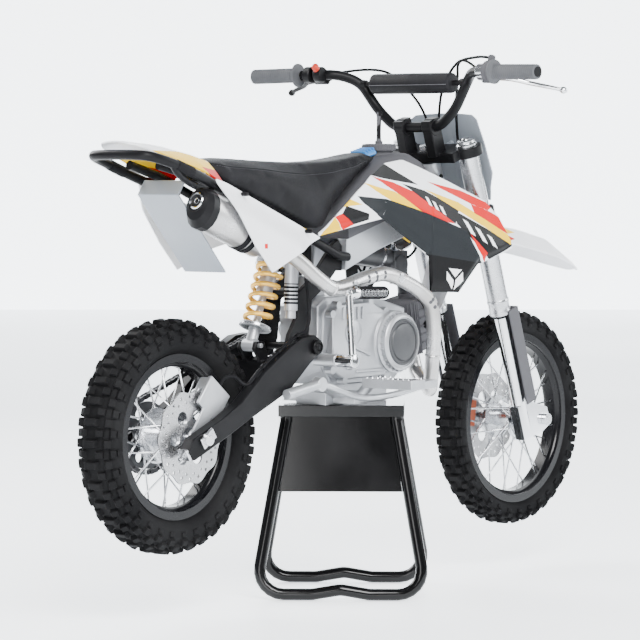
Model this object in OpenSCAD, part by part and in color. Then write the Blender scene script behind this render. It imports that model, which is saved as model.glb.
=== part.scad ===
// Small off-road motorcycle held on a paddock stand.
// Lengths are millimetres. X points forward, Y to the rider's left and Z up.
// The drawing origin is on the floor below the rear axle, and place() moves it
// to the middle of the overall length.

/* [Wheels] */
// Distance between the two axles
wheelbase = 1160; // [1120:5:1240]
// Height of the rear axle above the floor
rear_axle_h = 365; // [355:1:400]
// How much lower the front axle hangs than the rear axle
front_axle_drop = 29; // [10:1:45]
// Outside diameter of the rear tyre over its knobs
rear_tyre_d = 470; // [430:2:490]
// Outside diameter of the front tyre over its knobs
front_tyre_d = 480; // [440:2:510]
// Section width of the rear tyre
rear_tyre_w = 92; // [76:2:100]
// Section width of the front tyre
front_tyre_w = 72; // [62:2:84]
// Diameter over the flanges of the rear rim
rear_rim_d = 332; // [300:2:350]
// Diameter over the flanges of the front rim
front_rim_d = 383; // [340:2:400]
// Width over the flanges of the rear rim
rear_rim_w = 54; // [44:1:62]
// Width over the flanges of the front rim
front_rim_w = 48; // [40:1:56]
// Spokes in each wheel
spoke_count = 32; // [16:4:40]
// Spoke diameter
spoke_d = 3.6; // [2.5:0.1:5]
// Diameter of the rear brake disc
rear_disc_d = 190; // [150:5:196]
// Diameter of the front brake disc
front_disc_d = 200; // [160:5:210]
// Thickness of both brake discs
disc_t = 3.5; // [3:0.5:5]
// Pitch diameter of the rear sprocket
sprocket_d = 150; // [130:2:160]
// Wheel axle diameter
axle_d = 15; // [12:1:20]

/* [Steering] */
// Lean of the steering axis from upright, in degrees
rake = 19; // [17:0.5:22]
// Distance of the fork legs in front of the steering axis
fork_offset = 30; // [24:1:36]
// Sideways distance of each fork leg from the middle
fork_y = 87; // [82:1:96]
// Outside diameter of the upper fork tubes
fork_tube_d = 46; // [40:1:50]
// Diameter of the sliding fork legs
fork_leg_d = 33; // [28:1:36]
// Handlebar tube diameter
bar_d = 22; // [20:1:28]
// Half the width over the handlebar ends
bar_half_w = 384; // [340:2:420]
// Bore of the open handlebar ends
bar_bore = 16; // [12:1:18]
// Outside diameter of the grips
grip_d = 31; // [28:1:36]

/* [Stand] */
// Height of the stand's top plate above the floor
stand_h = 403; // [395:1:420]
// Length of the stand's top plate
stand_top_l = 263; // [230:1:300]
// Depth of the stand's top plate
stand_top_w = 210; // [180:1:240]
// Length over the stand's feet
stand_foot_l = 381; // [340:1:420]
// Distance between the stand's two feet
stand_foot_w = 330; // [280:1:360]
// Stand tube diameter
stand_tube_d = 25; // [20:1:30]
// Turn of the stand about the upright, in degrees
stand_turn = -53; // [-90:1:0]

/* [Engine and exhaust] */
// Diameter of the round clutch housing
clutch_d = 122; // [100:2:126]
// Header pipe diameter over its heat shield
header_d = 31; // [26:1:34]
// Height of the muffler's oval body
muffler_h = 84; // [70:1:90]
// Width of the muffler's oval body
muffler_w = 70; // [60:1:76]
// Shock spring outside diameter
spring_d = 62; // [54:1:66]
// Shock spring wire diameter
spring_wire = 10; // [7:0.5:12]

/* [Body] */
// Wall of the plastic body panels
panel_t = 3.5; // [3:0.5:5]
// Half the width of the seat
seat_half_w = 82; // [70:1:88]
// Diameter of the fuel cap
cap_d = 70; // [50:1:80]

/* [Hidden] */
$fn = 64;

// Running clearance at pins and seats
fit = 0.3;
// Front axle, measured from the floor below the rear axle
front_axle_h = rear_axle_h - front_axle_drop;
front_axle_x = wheelbase;
// Rear end of the rear tyre and tip of the front fender
overall_rear = -rear_tyre_d / 2;
fender_tip_x = front_axle_x + 258;
mid_x = (overall_rear + fender_tip_x) / 2;

// Steering axis: a point on it, from which the front end is drawn
head_x = front_axle_x - 308;
head_z = front_axle_h + 605;
axle_lx = 308 * cos(rake) - 605 * sin(rake);
axle_lz = -308 * sin(rake) - 605 * cos(rake);

// Spacing along the wheel axles, from the middle of the bike
disc_y = 54.5;
hub_half = 54.5;
// Spacers start outside the disc and the sprocket
spacer_y = hub_half + 7;
arm_in = 74;
arm_out = 100;
foot_in = 74;
foot_out = 100;
axle_hole = axle_d + 2 * fit;

// Pivot of the swingarm and centre of the drive sprocket
pivot = [345, 532];
drive = [440, 560];
plate_in = 36;
plate_out = 46;
chain_h = 11;
chain_w = 8;

black = "#17181a";
gloss = "#0c0c0e";
silver = "#b9bcc0";
grey = "#8c9096";
white = "#eceef0";
orange = "#f0a51e";

// ---------------------------------------------------------------- helpers

module place() {
    translate([-mid_x, 0, 0]) children();
}

// Moves children from steering coordinates: Z along the steering axis, X forward
module steered() {
    place() translate([head_x, 0, head_z]) rotate([0, -rake, 0]) children();
}

// Turns a shape that is round about Z so that it is round about Y
module about_y(x, z) {
    translate([x, 0, z]) rotate([90, 0, 0]) children();
}

// Straight cylinder along Y from y1 to y2
module pin_y(x, z, y1, y2, d) {
    translate([x, y1, z]) rotate([-90, 0, 0]) cylinder(h = y2 - y1, d = d);
}

// Upright slab: an outline in X and Z, from y1 to y2
module slab(outline, y1, y2) {
    translate([0, y2, 0]) rotate([90, 0, 0]) linear_extrude(y2 - y1) polygon(outline);
}

// Straight round bar between two points
module rod(a, b, d) {
    v = b - a;
    l = norm(v);
    translate(a) rotate([0, acos(v[2] / l), atan2(v[1], v[0])]) cylinder(h = l, d = d);
}

module both_sides() {
    children();
    mirror([0, 1, 0]) children();
}

function unit(v) = v / norm(v);
function flip_y(pts) = [for (p = pts) [p[0], -p[1], p[2]]];

// Curve through all points, with k steps for each span
function spline_at(a, b, c, d, t) =
    0.5 * (2 * b + (c - a) * t + (2 * a - 5 * b + 4 * c - d) * t * t + (3 * b - a - 3 * c + d) * t * t * t);
function spline(p, k) = concat(
    [for (i = [0 : len(p) - 2]) for (j = [0 : k - 1])
        spline_at(p[max(i - 1, 0)], p[i], p[i + 1], p[min(i + 2, len(p) - 1)], j / k)],
    [p[len(p) - 1]]);

// Straight runs with arcs of radius r at the corners, k steps in each arc
function arc_at(o, a, b, w, s) = o + (sin((1 - s) * w) * a + sin(s * w) * b) / sin(w);
function corner(a, b, c, r, k) = let(
    u = unit(a - b), v = unit(c - b), h = acos(u * v) / 2,
    o = b + unit(u + v) * r / sin(h), s = b + u * r / tan(h) - o, e = b + v * r / tan(h) - o)
    [for (j = [0 : k]) arc_at(o, s, e, 180 - 2 * h, j / k)];
function bent(p, r, k) = concat([p[0]],
    [for (i = [1 : len(p) - 2]) each corner(p[i - 1], p[i], p[i + 1], r, k)], [p[len(p) - 1]]);

// Round tube along a path; ref is a direction that the path never takes
function heading(p, i) = unit(p[min(i + 1, len(p) - 1)] - p[max(i - 1, 0)]);
function ring(c, t, r, n, ref) = let(u = unit(cross(ref, t)), w = cross(t, u))
    [for (j = [0 : n - 1]) c + r * (cos(360 * j / n) * u + sin(360 * j / n) * w)];
module tube_along(p, d, n, ref) {
    skin([for (i = [0 : len(p) - 1]) ring(p[i], heading(p, i), d / 2, n, ref)]);
}

// Solid through a list of closed rings that all have the same number of points;
// both faces of a sheet are split along the same diagonals
module skin(rings) {
    m = len(rings[0]);
    last = len(rings) - 1;
    sides = [for (i = [0 : last - 1]) for (j = [0 : m - 1])
        let(a = i * m + j, b = i * m + (j + 1) % m)
        each (j < m / 2 ? [[a, a + m, b], [b, a + m, b + m]] : [[a, a + m, b + m], [a, b + m, b]])];
    ends = [[for (j = [0 : m - 1]) j], [for (j = [0 : m - 1]) last * m + m - 1 - j]];
    polyhedron([for (r = rings) each r], concat(ends, sides));
}

// Value of a table of [x, value] rows at x, straight between the rows
function at(table, x) = lookup(x, table);

// ---------------------------------------------------------------- stand

stand_mid_x = 559;
plate_t = 3;
lip_h = 24;
// Centre lines of the stand's legs, inside the folded lip and at the feet
leg_r = stand_tube_d / 2;
leg_top_x = stand_top_l / 2 - plate_t - fit - leg_r;
leg_top_y = stand_top_w / 2 - plate_t - fit - leg_r;
leg_foot_x = stand_foot_l / 2 - leg_r;
leg_foot_y = stand_foot_w / 2 - leg_r;
knee_z = stand_h - lip_h - 8;
lean_x = (leg_foot_x - leg_top_x) / (knee_z - leg_r);
lean_y = (leg_foot_y - leg_top_y) / (knee_z - leg_r);

module on_stand() {
    place() translate([stand_mid_x, 0, 0]) rotate([0, 0, stand_turn]) children();
}

// Folded top plate with a stiffening panel between each pair of legs
module stand_top() {
    panel_drop = 150;
    half = stand_top_l / 2;
    inner = leg_top_x - leg_r - 0.8;
    color(gloss) on_stand() {
        difference() {
            translate([-half, -stand_top_w / 2, stand_h - lip_h]) cube([stand_top_l, stand_top_w, lip_h]);
            translate([-half + plate_t, -stand_top_w / 2 + plate_t, stand_h - lip_h - 1])
                cube([stand_top_l - 2 * plate_t, stand_top_w - 2 * plate_t, lip_h - plate_t + 1]);
        }
        both_sides() {
            translate([-inner, leg_top_y - plate_t, knee_z]) cube([2 * inner, plate_t, stand_h - knee_z - 1]);
            translate([0, leg_top_y, knee_z]) rotate([atan(lean_y), 0, 0]) rotate([90, 0, 0])
                linear_extrude(plate_t) polygon([[-inner, 1], [inner, 1],
                    [inner + lean_x * panel_drop, -panel_drop], [-inner - lean_x * panel_drop, -panel_drop]]);
        }
    }
}

// Two bent tubes that stand on the floor; their lower runs rise in the middle
module stand_legs() {
    rise = 10;
    top = stand_h - plate_t - fit;
    side = [[leg_top_x, leg_top_y, top], [leg_top_x, leg_top_y, knee_z], [leg_foot_x, leg_foot_y, leg_r],
        [60, leg_foot_y, leg_r]];
    path = concat([for (p = side) [-p[0], p[1], p[2]]], [[0, leg_foot_y, leg_r + rise]],
        [for (i = [3 : -1 : 0]) side[i]]);
    color(gloss) on_stand() both_sides() tube_along(bent(path, 50, 6), stand_tube_d, 16, [0, 1, 0.01]);
}

// ---------------------------------------------------------------- frame

head_in = 30;
head_out = 50;
head_top = -31;
head_low = -147;
spar_in = 30;
spar_out = 56;
peg_y = 95;
// Upper edge of the spars, on which the tank sits
spar_top = [[504, 750], [600, 782], [800, 857]];

// Steering head with two box spars that reach back over the engine
module frame_spars() {
    spar = concat([[500, 684]], spar_top, [[852, 862], [862, 812], [780, 772], [610, 724]]);
    color(grey) difference() {
        union() {
            place() both_sides() slab(spar, spar_in, spar_out);
            steered() translate([0, 0, head_low]) cylinder(h = head_top - head_low, d = head_out);
            place() for (x = [560, 700]) pin_y(x, at([[560, 730], [700, 786]], x), -spar_in - 1, spar_in + 1, 26);
            place() slab([[800, 840], [830, 866], [880, 866], [885, 800], [850, 790], [800, 800]], -35, 35);
        }
        steered() translate([0, 0, head_low - 1]) cylinder(h = head_top - head_low + 2, d = head_in);
        steered() translate([fork_offset + 10, -60, head_low - 60]) cube([90, 120, 400]);
    }
}

// Black side plates that carry the swingarm pivot and the engine's rear mounts
module frame_plates() {
    plate = [[480, 683.5], [499.5, 683.5], [499.5, 735], [488, 748], [470, 740], [398, 668], [352, 640], [350, 590],
        [326, 556], [318, 532], [326, 512], [345, 505], [372, 512], [388, 545], [400, 625], [440, 648]];
    color(black) place() difference() {
        union() {
            both_sides() slab(plate, plate_in, plate_out);
            pin_y(375, 640, -plate_in - 1, plate_in + 1, 20);
            pin_y(450, 664, -plate_in - 1, plate_in + 1, 12);
        }
        both_sides() pin_y(pivot[0], pivot[1], 0, plate_out + 1, 17);
    }
}

// Upper edge of the side panels, which posts on the rails hold
side_top = [[28, 878], [60, 869], [352, 757]];
rail_y = 60;
rail_d = 19;
seat_low = [[70, 903], [104, 871], [369, 766], [385, 763], [401, 766], [457, 821], [551, 888], [622, 916]];
rail_drop = rail_d / 2 + fit + 3.5;

// Seat rails behind the frame, joined across at the back and at the shock's top
module subframe() {
    rail = [[508, rail_y, 712], [470, rail_y, 716], [385, rail_y, at(seat_low, 385) - rail_drop],
        [104, rail_y, at(seat_low, 104) - rail_drop], [20, rail_y - 12, 884], [-70, rail_y - 22, 905]];
    color(black) place() {
        both_sides() difference() {
            tube_along(bent(rail, 20, 4), rail_d, 12, [0, 1, 0]);
            translate([500.8, 0, 600]) cube([200, 200, 300]);
        }
        pin_y(200, at(seat_low, 200) - rail_drop - 4, -rail_y, rail_y, 12);
        both_sides() for (x = [104, 306]) pin_y(x, at(side_top, x) - 5, rail_y, side_in - fit, 8);
        pin_y(340, 742, -rail_y, -16.3, 12);
        pin_y(340, 742, 16.3, rail_y, 12);
        pin_y(340, 742, -16.4, 16.4, 9.4);
    }
}

// Black grab rail round the tail, with the arm that holds the muffler
module grab_rail() {
    d = 20;
    side = [[72, -75.6, 858], [20, -87, 874.2], [-30, -90, 891], [-75, -88, 906], [-130, -76, 921], [-150, -46, 925]];
    path = concat(spline(side, 4), spline([for (i = [len(side) - 1 : -1 : 0]) [side[i][0], -side[i][1], side[i][2]]], 4));
    color(black) place() {
        tube_along(path, d, 12, [0, 0, 1]);
        tube_along(spline([[-84, -87, 906], [-66, -84, 890], [-44, -79, 880], [-24, -77, 879.5]], 4), 14, 10, [0, 1, 0]);
        rod([44.8, -78.7, 867.6], [40.1, -78.7, 854.5], 12);
    }
}

// ---------------------------------------------------------------- engine

clutch_c = [624, 531];
engine_tilt = 10;
case_front = 700;

module engine_case() {
    block = [[404, 500], [404, 612], [430, 630], [560, 634], [650, 612], [case_front, 600], [case_front, 478],
        [660, 446], [450, 446]];
    right = [[420, 480], [420, 596], [440, 614], [548, 618], [600, 596], [600, 462], [460, 458]];
    left = [[500, 470], [500, 590], [560, 604], [650, 600], [690, 560], [690, 490], [640, 458], [520, 458]];
    color(silver) place() {
        slab(block, -58, 44);
        slab(right, -86, -57);
        slab(left, 43, 80);
        pin_y(clutch_c[0], clutch_c[1], -92, -57, clutch_d + 10);
        pin_y(618, 530, 79, 94, 110);
        pin_y(drive[0], drive[1], 43, 66, 20);
        pin_y(drive[0], drive[1], disc_y, disc_y + 6, 44);
        pin_y(393, 503, -120, -57, 26);
        difference() {
            slab([[430, 629], [439, 672], [461, 672], [470, 629]], -24, 24);
            pin_y(450, 664, -25, 25, 12 + 2 * fit);
        }
    }
}

// Finned barrel and head, nearly level in front of the case
module engine_cylinder() {
    fin_n = 6;
    pitch = 11;
    color(black) place() translate([case_front + fit, 0, 545]) rotate([0, -engine_tilt, 0]) {
        intersection() {
            union() {
                translate([-14, -38, -42]) cube([70 + 14, 76, 84]);
                for (i = [0 : fin_n - 1]) translate([4 + i * pitch, -52, -56]) cube([5, 104, 112]);
                translate([64, -50, -54]) cube([58, 100, 108]);
                translate([70, 49, -6]) rotate([-90, 0, 0]) cylinder(h = 8, d = 60);
                translate([92, 0, 50]) cylinder(h = 18, d = 36);
                translate([92, 0, -64]) cylinder(h = 14, d = 38);
            }
            rotate([0, engine_tilt, 0]) translate([0, -100, -200]) cube([300, 200, 400]);
        }
    }
}

module clutch_cover() {
    color(grey) place() {
        pin_y(clutch_c[0], clutch_c[1], -114, -92.3, clutch_d);
        pin_y(clutch_c[0], clutch_c[1], -118, -113, clutch_d - 22);
    }
}

// Face of the inlet stub on the head
inlet = [case_front + fit, 0, 545] + 92 * [cos(engine_tilt), 0, sin(engine_tilt)]
    + (68 + fit) * [-sin(engine_tilt), 0, cos(engine_tilt)];

// Carburettor on the inlet stub, with its filter between the spars
module carburettor() {
    color(black) place() {
        pin_y(735, 690, -24, 24, 44);
        translate([712, -22, 668]) cube([46, 44, 52]);
        rod([730, 0, 700], [660, 0, 716], 40);
        rod([672, 0, 713], [590, 0, 722], 56);
        rod(inlet, inlet + 24 * [-sin(engine_tilt), 0, cos(engine_tilt)], 34);
        rod(inlet + [-4, 0, 20], [744, 0, 688], 32);
    }
}

header_path = [[803, 0, 492], [803, -12, 456], [775, -62, 426], [740, -96, 428], [724, -112, 470], [716, -124, 545],
    [700, -128, 606], [666, -127, 635], [610, -125, 660], [541, -125, 677], [473, -125, 669], [414, -125, 656],
    [367, -125, 653], [322, -120, 676], [284, -110, 706], [250, -98, 730], [226, -90, 741]];

module header_pipe() {
    color(silver) place() {
        tube_along(spline(header_path, 3), header_d, 16, [0.2, 1, 0.3]);
        translate([case_front + fit, 0, 545]) rotate([0, -engine_tilt, 0]) translate([92, 0, -69 - fit])
            cylinder(h = 5, d = 46);
    }
}

muffler_back = [-6, -77, 826];
muffler_front = [212, -85, 747];

// Oval silencer body with a tapered inlet and a cut-back end cap
module muffler() {
    v = muffler_back - muffler_front;
    l = norm(v);
    n = 40;
    oval = [for (i = [0 : n - 1]) [muffler_h / 2 * cos(360 * i / n), muffler_w / 2 * sin(360 * i / n)]];
    small = [for (p = oval) p * 0.5];
    color(silver) place() translate(muffler_front) rotate([0, acos(v[2] / l), atan2(v[1], v[0])]) difference() {
        union() {
            translate([0, 0, 34]) linear_extrude(l - 34) polygon(oval);
            skin([for (s = [[small, 4], [oval, 34.5]]) [for (p = s[0]) [p[0], p[1], s[1]]]]);
        }
        translate([0, 0, l - 22]) cylinder(h = 30, d = 30);
    }
}

// ---------------------------------------------------------------- rear suspension

arm = [[345, 556], [300, 552], [261, 534], [184, 490], [111, 432], [45, 399], [-38, 366], [-54, 340], [-34, 324],
    [63, 363], [142, 398], [262, 447], [330, 500], [366, 522], [364, 545]];

// Two tapering box arms, the pivot tube, the cross brace and the shock bracket
module swingarm() {
    boss = 34;
    color(black) place() difference() {
        union() {
            both_sides() slab(arm, arm_in, arm_out);
            both_sides() pin_y(pivot[0], pivot[1], plate_out + fit, arm_in + 1, boss);
            slab([[262, 452], [290, 462], [290, 512], [262, 505]], -arm_in - 1, arm_in + 1);
            slab([[262, 500], [290, 500], [272, 544], [246, 544], [240, 530], [255, 510]], -24, -15.3);
            slab([[262, 500], [290, 500], [272, 544], [246, 544], [240, 530], [255, 510]], 15.3, 24);
        }
        pin_y(pivot[0], pivot[1], -arm_out - 1, arm_out + 1, 17);
        pin_y(0, rear_axle_h, -arm_out - 1, arm_out + 1, axle_hole);
        pin_y(256, 536, -30, 30, 10.6);
    }
    color(grey) place() {
        pin_y(pivot[0], pivot[1], -arm_out - 10, arm_out + 10, 16.4);
        both_sides() pin_y(pivot[0], pivot[1], arm_out + fit, arm_out + 9, 30);
    }
}

shock_low = [256, 0, 536];
shock_top = [340, 0, 742];

module on_shock() {
    v = shock_top - shock_low;
    place() translate(shock_low) rotate([0, atan2(v[0], v[2]), 0]) children();
}

shock_l = norm(shock_top - shock_low);

// Damper with its eyes, spring seats and separate gas reservoir
module rear_shock() {
    color(grey) difference() {
        union() {
            on_shock() {
                translate([0, 15, 0]) rotate([90, 0, 0]) cylinder(h = 30, d = 26);
                translate([0, 0, 8]) cylinder(h = 34, d = 24);
                translate([0, 0, 36]) cylinder(h = 8, d = spring_d + 2);
                translate([0, 0, 40]) cylinder(h = 90, d = 16);
                translate([0, 0, 110]) cylinder(h = shock_l - 118, d = 34);
                translate([0, 0, 176]) cylinder(h = 8, d = spring_d + 2);
                translate([0, 16, shock_l]) rotate([90, 0, 0]) cylinder(h = 32, d = 26);
            }
            place() {
                rod([320, -54, 606], [325, -54, 724], 28);
                rod([319, -54, 590], [320, -54, 608], 22);
                rod([325, -54, 715], [331, -10, 721], 13);
            }
        }
        on_shock() translate([0, 20, 0]) rotate([90, 0, 0]) cylinder(h = 40, d = 10.6);
        on_shock() translate([0, 20, shock_l]) rotate([90, 0, 0]) cylinder(h = 40, d = 10);
    }
    color(silver) place() pin_y(shock_low[0], shock_low[2], -30, 30, 10);
}

module shock_spring() {
    turns = 5.6;
    steps = 16;
    z0 = 44 + fit + spring_wire / 2;
    z1 = 176 - fit - spring_wire / 2;
    r = (spring_d - spring_wire) / 2;
    n = floor(turns * steps);
    path = [for (i = [0 : n]) [r * cos(360 * i / steps), r * sin(360 * i / steps), z0 + (z1 - z0) * i / n]];
    color(orange) on_shock() tube_along(path, spring_wire, 8, [0, 0, 1]);
}

// ---------------------------------------------------------------- body panels

seat_crown = [[70, 919], [150, 913], [239, 908], [368, 904], [467, 907], [540, 914], [600, 924], [622, 928]];
seat_width = [[70, 50], [104, 70], [219, 80], [385, 84], [457, 80], [551, 66], [622, 46]];

// Closed cushion: its sides reach down in a vee between tail and tank
function seat_ring(x, n) = let(low = at(seat_low, x), top = at(seat_crown, x), w = at(seat_width, x) * seat_half_w / 84)
    [for (j = [0 : n]) let(a = 180 * j / n, c = cos(a), s = sin(a))
        [x, w * sign(c) * pow(abs(c), 0.55), low + (top - low) * pow(s, 0.5)]];

module seat() {
    steps = [70, 80, 104, 150, 200, 250, 310, 369, 385, 401, 430, 457, 500, 551, 590, 621];
    color(black) place() skin([for (x = steps) seat_ring(x, 20)]);
}

tank_top = [[500, 822], [610, 896], [640, 920], [690, 932], [741, 930], [790, 915], [815, 890]];
tank_width = [[500, 60], [610, 74], [690, 78], [741, 72], [790, 50], [815, 30]];
tank_low = [[500, 749], [504, 750], [600, 782], [800, 857], [815, 863]];

function tank_ring(x, n) = let(low = at(tank_low, x) + fit, top = at(tank_top, x), w = at(tank_width, x))
    [for (j = [0 : n]) let(a = 180 * j / n, c = cos(a), s = sin(a))
        [x, w * sign(c) * pow(abs(c), 0.6), low + (top - low) * pow(s, 0.7)]];

// Tank over the spars, with the filler cap and its upright breather
module fuel_tank() {
    steps = [504, 540, 580, 600, 610, 640, 665, 690, 715, 741, 765, 790, 815];
    cap_x = 684;
    color(black) place() {
        skin([for (x = steps) tank_ring(x, 18)]);
        translate([cap_x, 0, 920]) cylinder(h = 18, d = cap_d - 14);
        translate([cap_x, 0, 934]) cylinder(h = 14, d = cap_d);
        translate([cap_x, 0, 946]) cylinder(h = 70, d = 9);
    }
}

shroud_top = [[366, 765], [448, 822], [522, 878], [593, 908], [655, 915], [700, 900], [785, 868], [888, 826],
    [933, 790], [979, 728]];
shroud_low = [[366, 759], [448, 772], [522, 785], [567, 792], [712, 709], [719, 634], [809, 632], [867, 628],
    [879, 692], [979, 722]];
shroud_y = [[366, 96], [567, 106], [712, 120], [800, 128], [888, 137], [979, 142]];
shroud_lean = [[366, 0], [522, 3], [593, 20], [655, 30], [785, 16], [888, 5], [979, 0]];

function shroud_side(x, z) = at(shroud_y, x)
    - at(shroud_lean, x) * pow(max(0, (z - at(shroud_top, x) + 80) / 80), 1.6)
    - 0.05 * max(0, 720 - z);
function shroud_ring(x, n) = let(low = at(shroud_low, x), top = at(shroud_top, x))
    concat([for (j = [0 : n]) let(z = low + (top - low) * j / n) [x, shroud_side(x, z), z]],
        [for (j = [n : -1 : 0]) let(z = low + (top - low) * j / n) [x, shroud_side(x, z) - panel_t, z]]);

// Flared side cover of the tank, with lugs that reach the spar
module left_shroud() {
    steps = [400, 448, 490, 522, 567, 593, 630, 655, 700, 711, 720, 760, 809, 840, 867, 879, 905, 933, 960];
    color(white) place() {
        skin([for (x = steps) shroud_ring(x, 8)]);
        pin_y(643, 826, 75.8, 112, 10);
        pin_y(776, 804, spar_out + fit, 124, 12);
    }
}

module right_shroud() {
    mirror([0, 1, 0]) left_shroud();
}

side_in = 121;

// Side number panel outside the muffler, from the tail to the shroud
module left_side_panel() {
    low = [[28, 873], [66, 815], [120, 745], [174, 690], [262, 726], [352, 754]];
    color(white) place() slab(concat(low, [for (i = [2 : -1 : 0]) side_top[i]]), side_in, side_in + panel_t);
}

module right_side_panel() {
    mirror([0, 1, 0]) left_side_panel();
}

fender_crown = [[-155, 953], [-60, 944], [20, 930], [66, 920], [70, at(seat_low, 70) - fit],
    [100, at(seat_low, 100) - fit]];
fender_width = [[-155, 34], [-120, 58], [-60, 74], [20, 86], [66, 90], [70, 88], [100, 74]];
fender_fall = [[-155, 6], [-120, 16], [-60, 26], [20, 38], [66, 50], [70, 32], [100, 2]];

// Arched sheet: one half of the ring is the outside and the other the inside
function arch_ring(x, crown, w, fall, t, n) = concat(
    [for (j = [0 : n]) let(u = 1 - 2 * j / n) [x, w * u, crown - fall * pow(abs(u), 2.6)]],
    [for (j = [n : -1 : 0]) let(u = 1 - 2 * j / n) [x, (w - 1) * u, crown - t - fall * pow(abs(u), 2.6)]]);

module rear_fender() {
    steps = [-155, -140, -120, -90, -60, -20, 20, 50, 66, 70, 85, 100];
    color(white) place() {
        skin([for (x = steps)
            arch_ring(x, at(fender_crown, x), at(fender_width, x), at(fender_fall, x), panel_t, 14)]);
        for (y = [-36, 36]) translate([-40, y, 899.4 + rail_d / 2]) cylinder(h = 26, d = 12);
    }
}

// Grey inner guard that hangs below the tail in front of the tyre
module mudflap() {
    t = 4;
    color(grey) place() slab([[16, 874.6], [11, 874.6], [-10, 846], [134, 688], [138, 690], [-5, 846]], -36, 72);
}

// ---------------------------------------------------------------- controls by the feet

// Silver cross bracket under the engine with two serrated pegs
module footpegs() {
    low = stand_h + fit;
    color(silver) place() {
        slab([[452, low], [452, 430], [470, 440], [480, 445.7], [640, 445.7], [660, 430], [660, low]], -40, 40);
        slab([[478, stand_h + 4], [478, 432], [522, 432], [522, stand_h + 4]], -peg_y, peg_y);
        both_sides() difference() {
            slab([[476, 442], [476, 462], [524, 462], [524, 442]], 118, 246);
            for (y = [130 : 29 : 217]) translate([484, y, 430]) cube([32, 21, 50]);
        }
        both_sides() rod([500, peg_y - 6, 420], [500, 122, 450], 22);
    }
}

// Pedal arm with its pivot, and the master cylinder that it pushes
module brake_pedal() {
    path = [[341, -112, 456], [372, -116, 450], [401, -120, 440], [450, -126, 425], [510, -132, 421], [578, -140, 427],
        [640, -150, 439]];
    color(silver) place() {
        tube_along(spline(path, 3), 14, 10, [0, 1, 0]);
        pin_y(341, 456, -122, -103, 30);
        slab([[620, 434], [620, 450], [664, 452], [664, 436]], -172, -138);
        rod([334, -112, 455], [236, -112, 440], 22);
        rod([341, -106, 456], [440, -72, 428], 14);
        rod([436, -72, 428], [478 - fit, -72, 428], 14);
    }
}

module gear_lever() {
    path = [[486, 92, 486], [520, 112, 470], [580, 128, 458], [650, 136, 462]];
    color(silver) place() {
        tube_along(spline(path, 4), 12, 10, [0, 1, 0]);
        pin_y(486, 486, 44 + fit, 98, 20);
        pin_y(650, 462, 128, 176, 18);
    }
}

// Lever on the starter shaft, with its rubber rest folded forward
module kick_starter() {
    color(silver) place() {
        pin_y(393, 503, -166, -120.3, 28);
        rod([393, -158, 503], [381, -158, 640], 15);
        rod([381, -158, 640], [398, -158, 644], 20);
    }
    color(black) place() rod([396, -158, 643], [500, -156, 640], 25);
}

// ---------------------------------------------------------------- wheels

// Half profile of a tyre from the crown down one side, as [radius, sideways]
function tyre_side(r_low, r_top, half_w, bead_half, n) = let(
    t1 = 180 - asin(pow(bead_half / half_w, 1 / 0.8)), h = (r_top - r_low) / (1 + pow(abs(cos(t1)), 0.8)), c = r_top - h)
    [for (j = [0 : n]) let(t = t1 * j / n) [c + h * sign(cos(t)) * pow(abs(cos(t)), 0.8), half_w * pow(sin(t), 0.8)]];
function mirrored(p) = [for (i = [len(p) - 1 : -1 : 0]) [p[i][0], -p[i][1]]];

module tyre(d, w, rim_d, rim_w) {
    bead = rim_w / 2 - 3 - fit;
    seat_r = rim_d / 2 - 13 + fit;
    outer = tyre_side(rim_d / 2 + 1, d / 2, w / 2, bead, 12);
    inner = tyre_side(rim_d / 2 + 1, d / 2 - 11, w / 2 - 6, bead - 5, 12);
    half = concat([for (i = [1 : 12]) outer[i]], [[seat_r, bead]]);
    hollow = concat([for (i = [1 : 12]) inner[i]], [[seat_r, bead - 5]]);
    outline = concat(mirrored(half), [outer[0]], half, [for (i = [12 : -1 : 0]) hollow[i]], [inner[0]],
        [for (p = hollow) [p[0], -p[1]]]);
    rotate_extrude($fn = 96) polygon(outline);
}

// Rim with flanges, bead seats and a deeper well
module rim(d, w) {
    r = d / 2;
    h = w / 2;
    side = [[r, h], [r, h - 3], [r - 13, h - 3], [r - 13, 13], [r - 22, 10]];
    under = [[r - 26, 12], [r - 17, 15], [r - 16, h]];
    outline = concat(side, [for (i = [4 : -1 : 0]) [side[i][0], -side[i][1]]],
        [for (i = [2 : -1 : 0]) [under[i][0], -under[i][1]]], under);
    rotate_extrude($fn = 96) polygon(outline);
}

// Hub shell with two spoke flanges, and crossed spokes to the rim's well
module hub(rim_d, flange_d) {
    flange_y = 31;
    well = rim_d / 2 - 26 - 0.8;
    fr = flange_d / 2 - 6;
    step = 720 / spoke_count;
    difference() {
        union() {
            cylinder(h = 2 * hub_half, d = 44, center = true);
            for (s = [-1, 1]) translate([0, 0, s * flange_y]) cylinder(h = 6, d = flange_d, center = true);
            for (s = [-1, 1]) translate([0, 0, s * (hub_half - 6)]) cylinder(h = 12, d = 76, center = true);
            for (s = [-1, 1]) for (i = [0 : spoke_count / 2 - 1]) let(a = step * i + (s > 0 ? step / 2 : 0),
                turn = i % 2 == 0 ? 24 : -24, y = s * (flange_y + (i % 2 == 0 ? 2 : -2)))
                rod([fr * cos(a), fr * sin(a), y], [well * cos(a + turn), well * sin(a + turn), s * (i % 2 == 0 ? 7 : 4)],
                    spoke_d);
        }
        cylinder(h = 3 * hub_half, d = axle_hole, center = true);
    }
}

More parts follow.
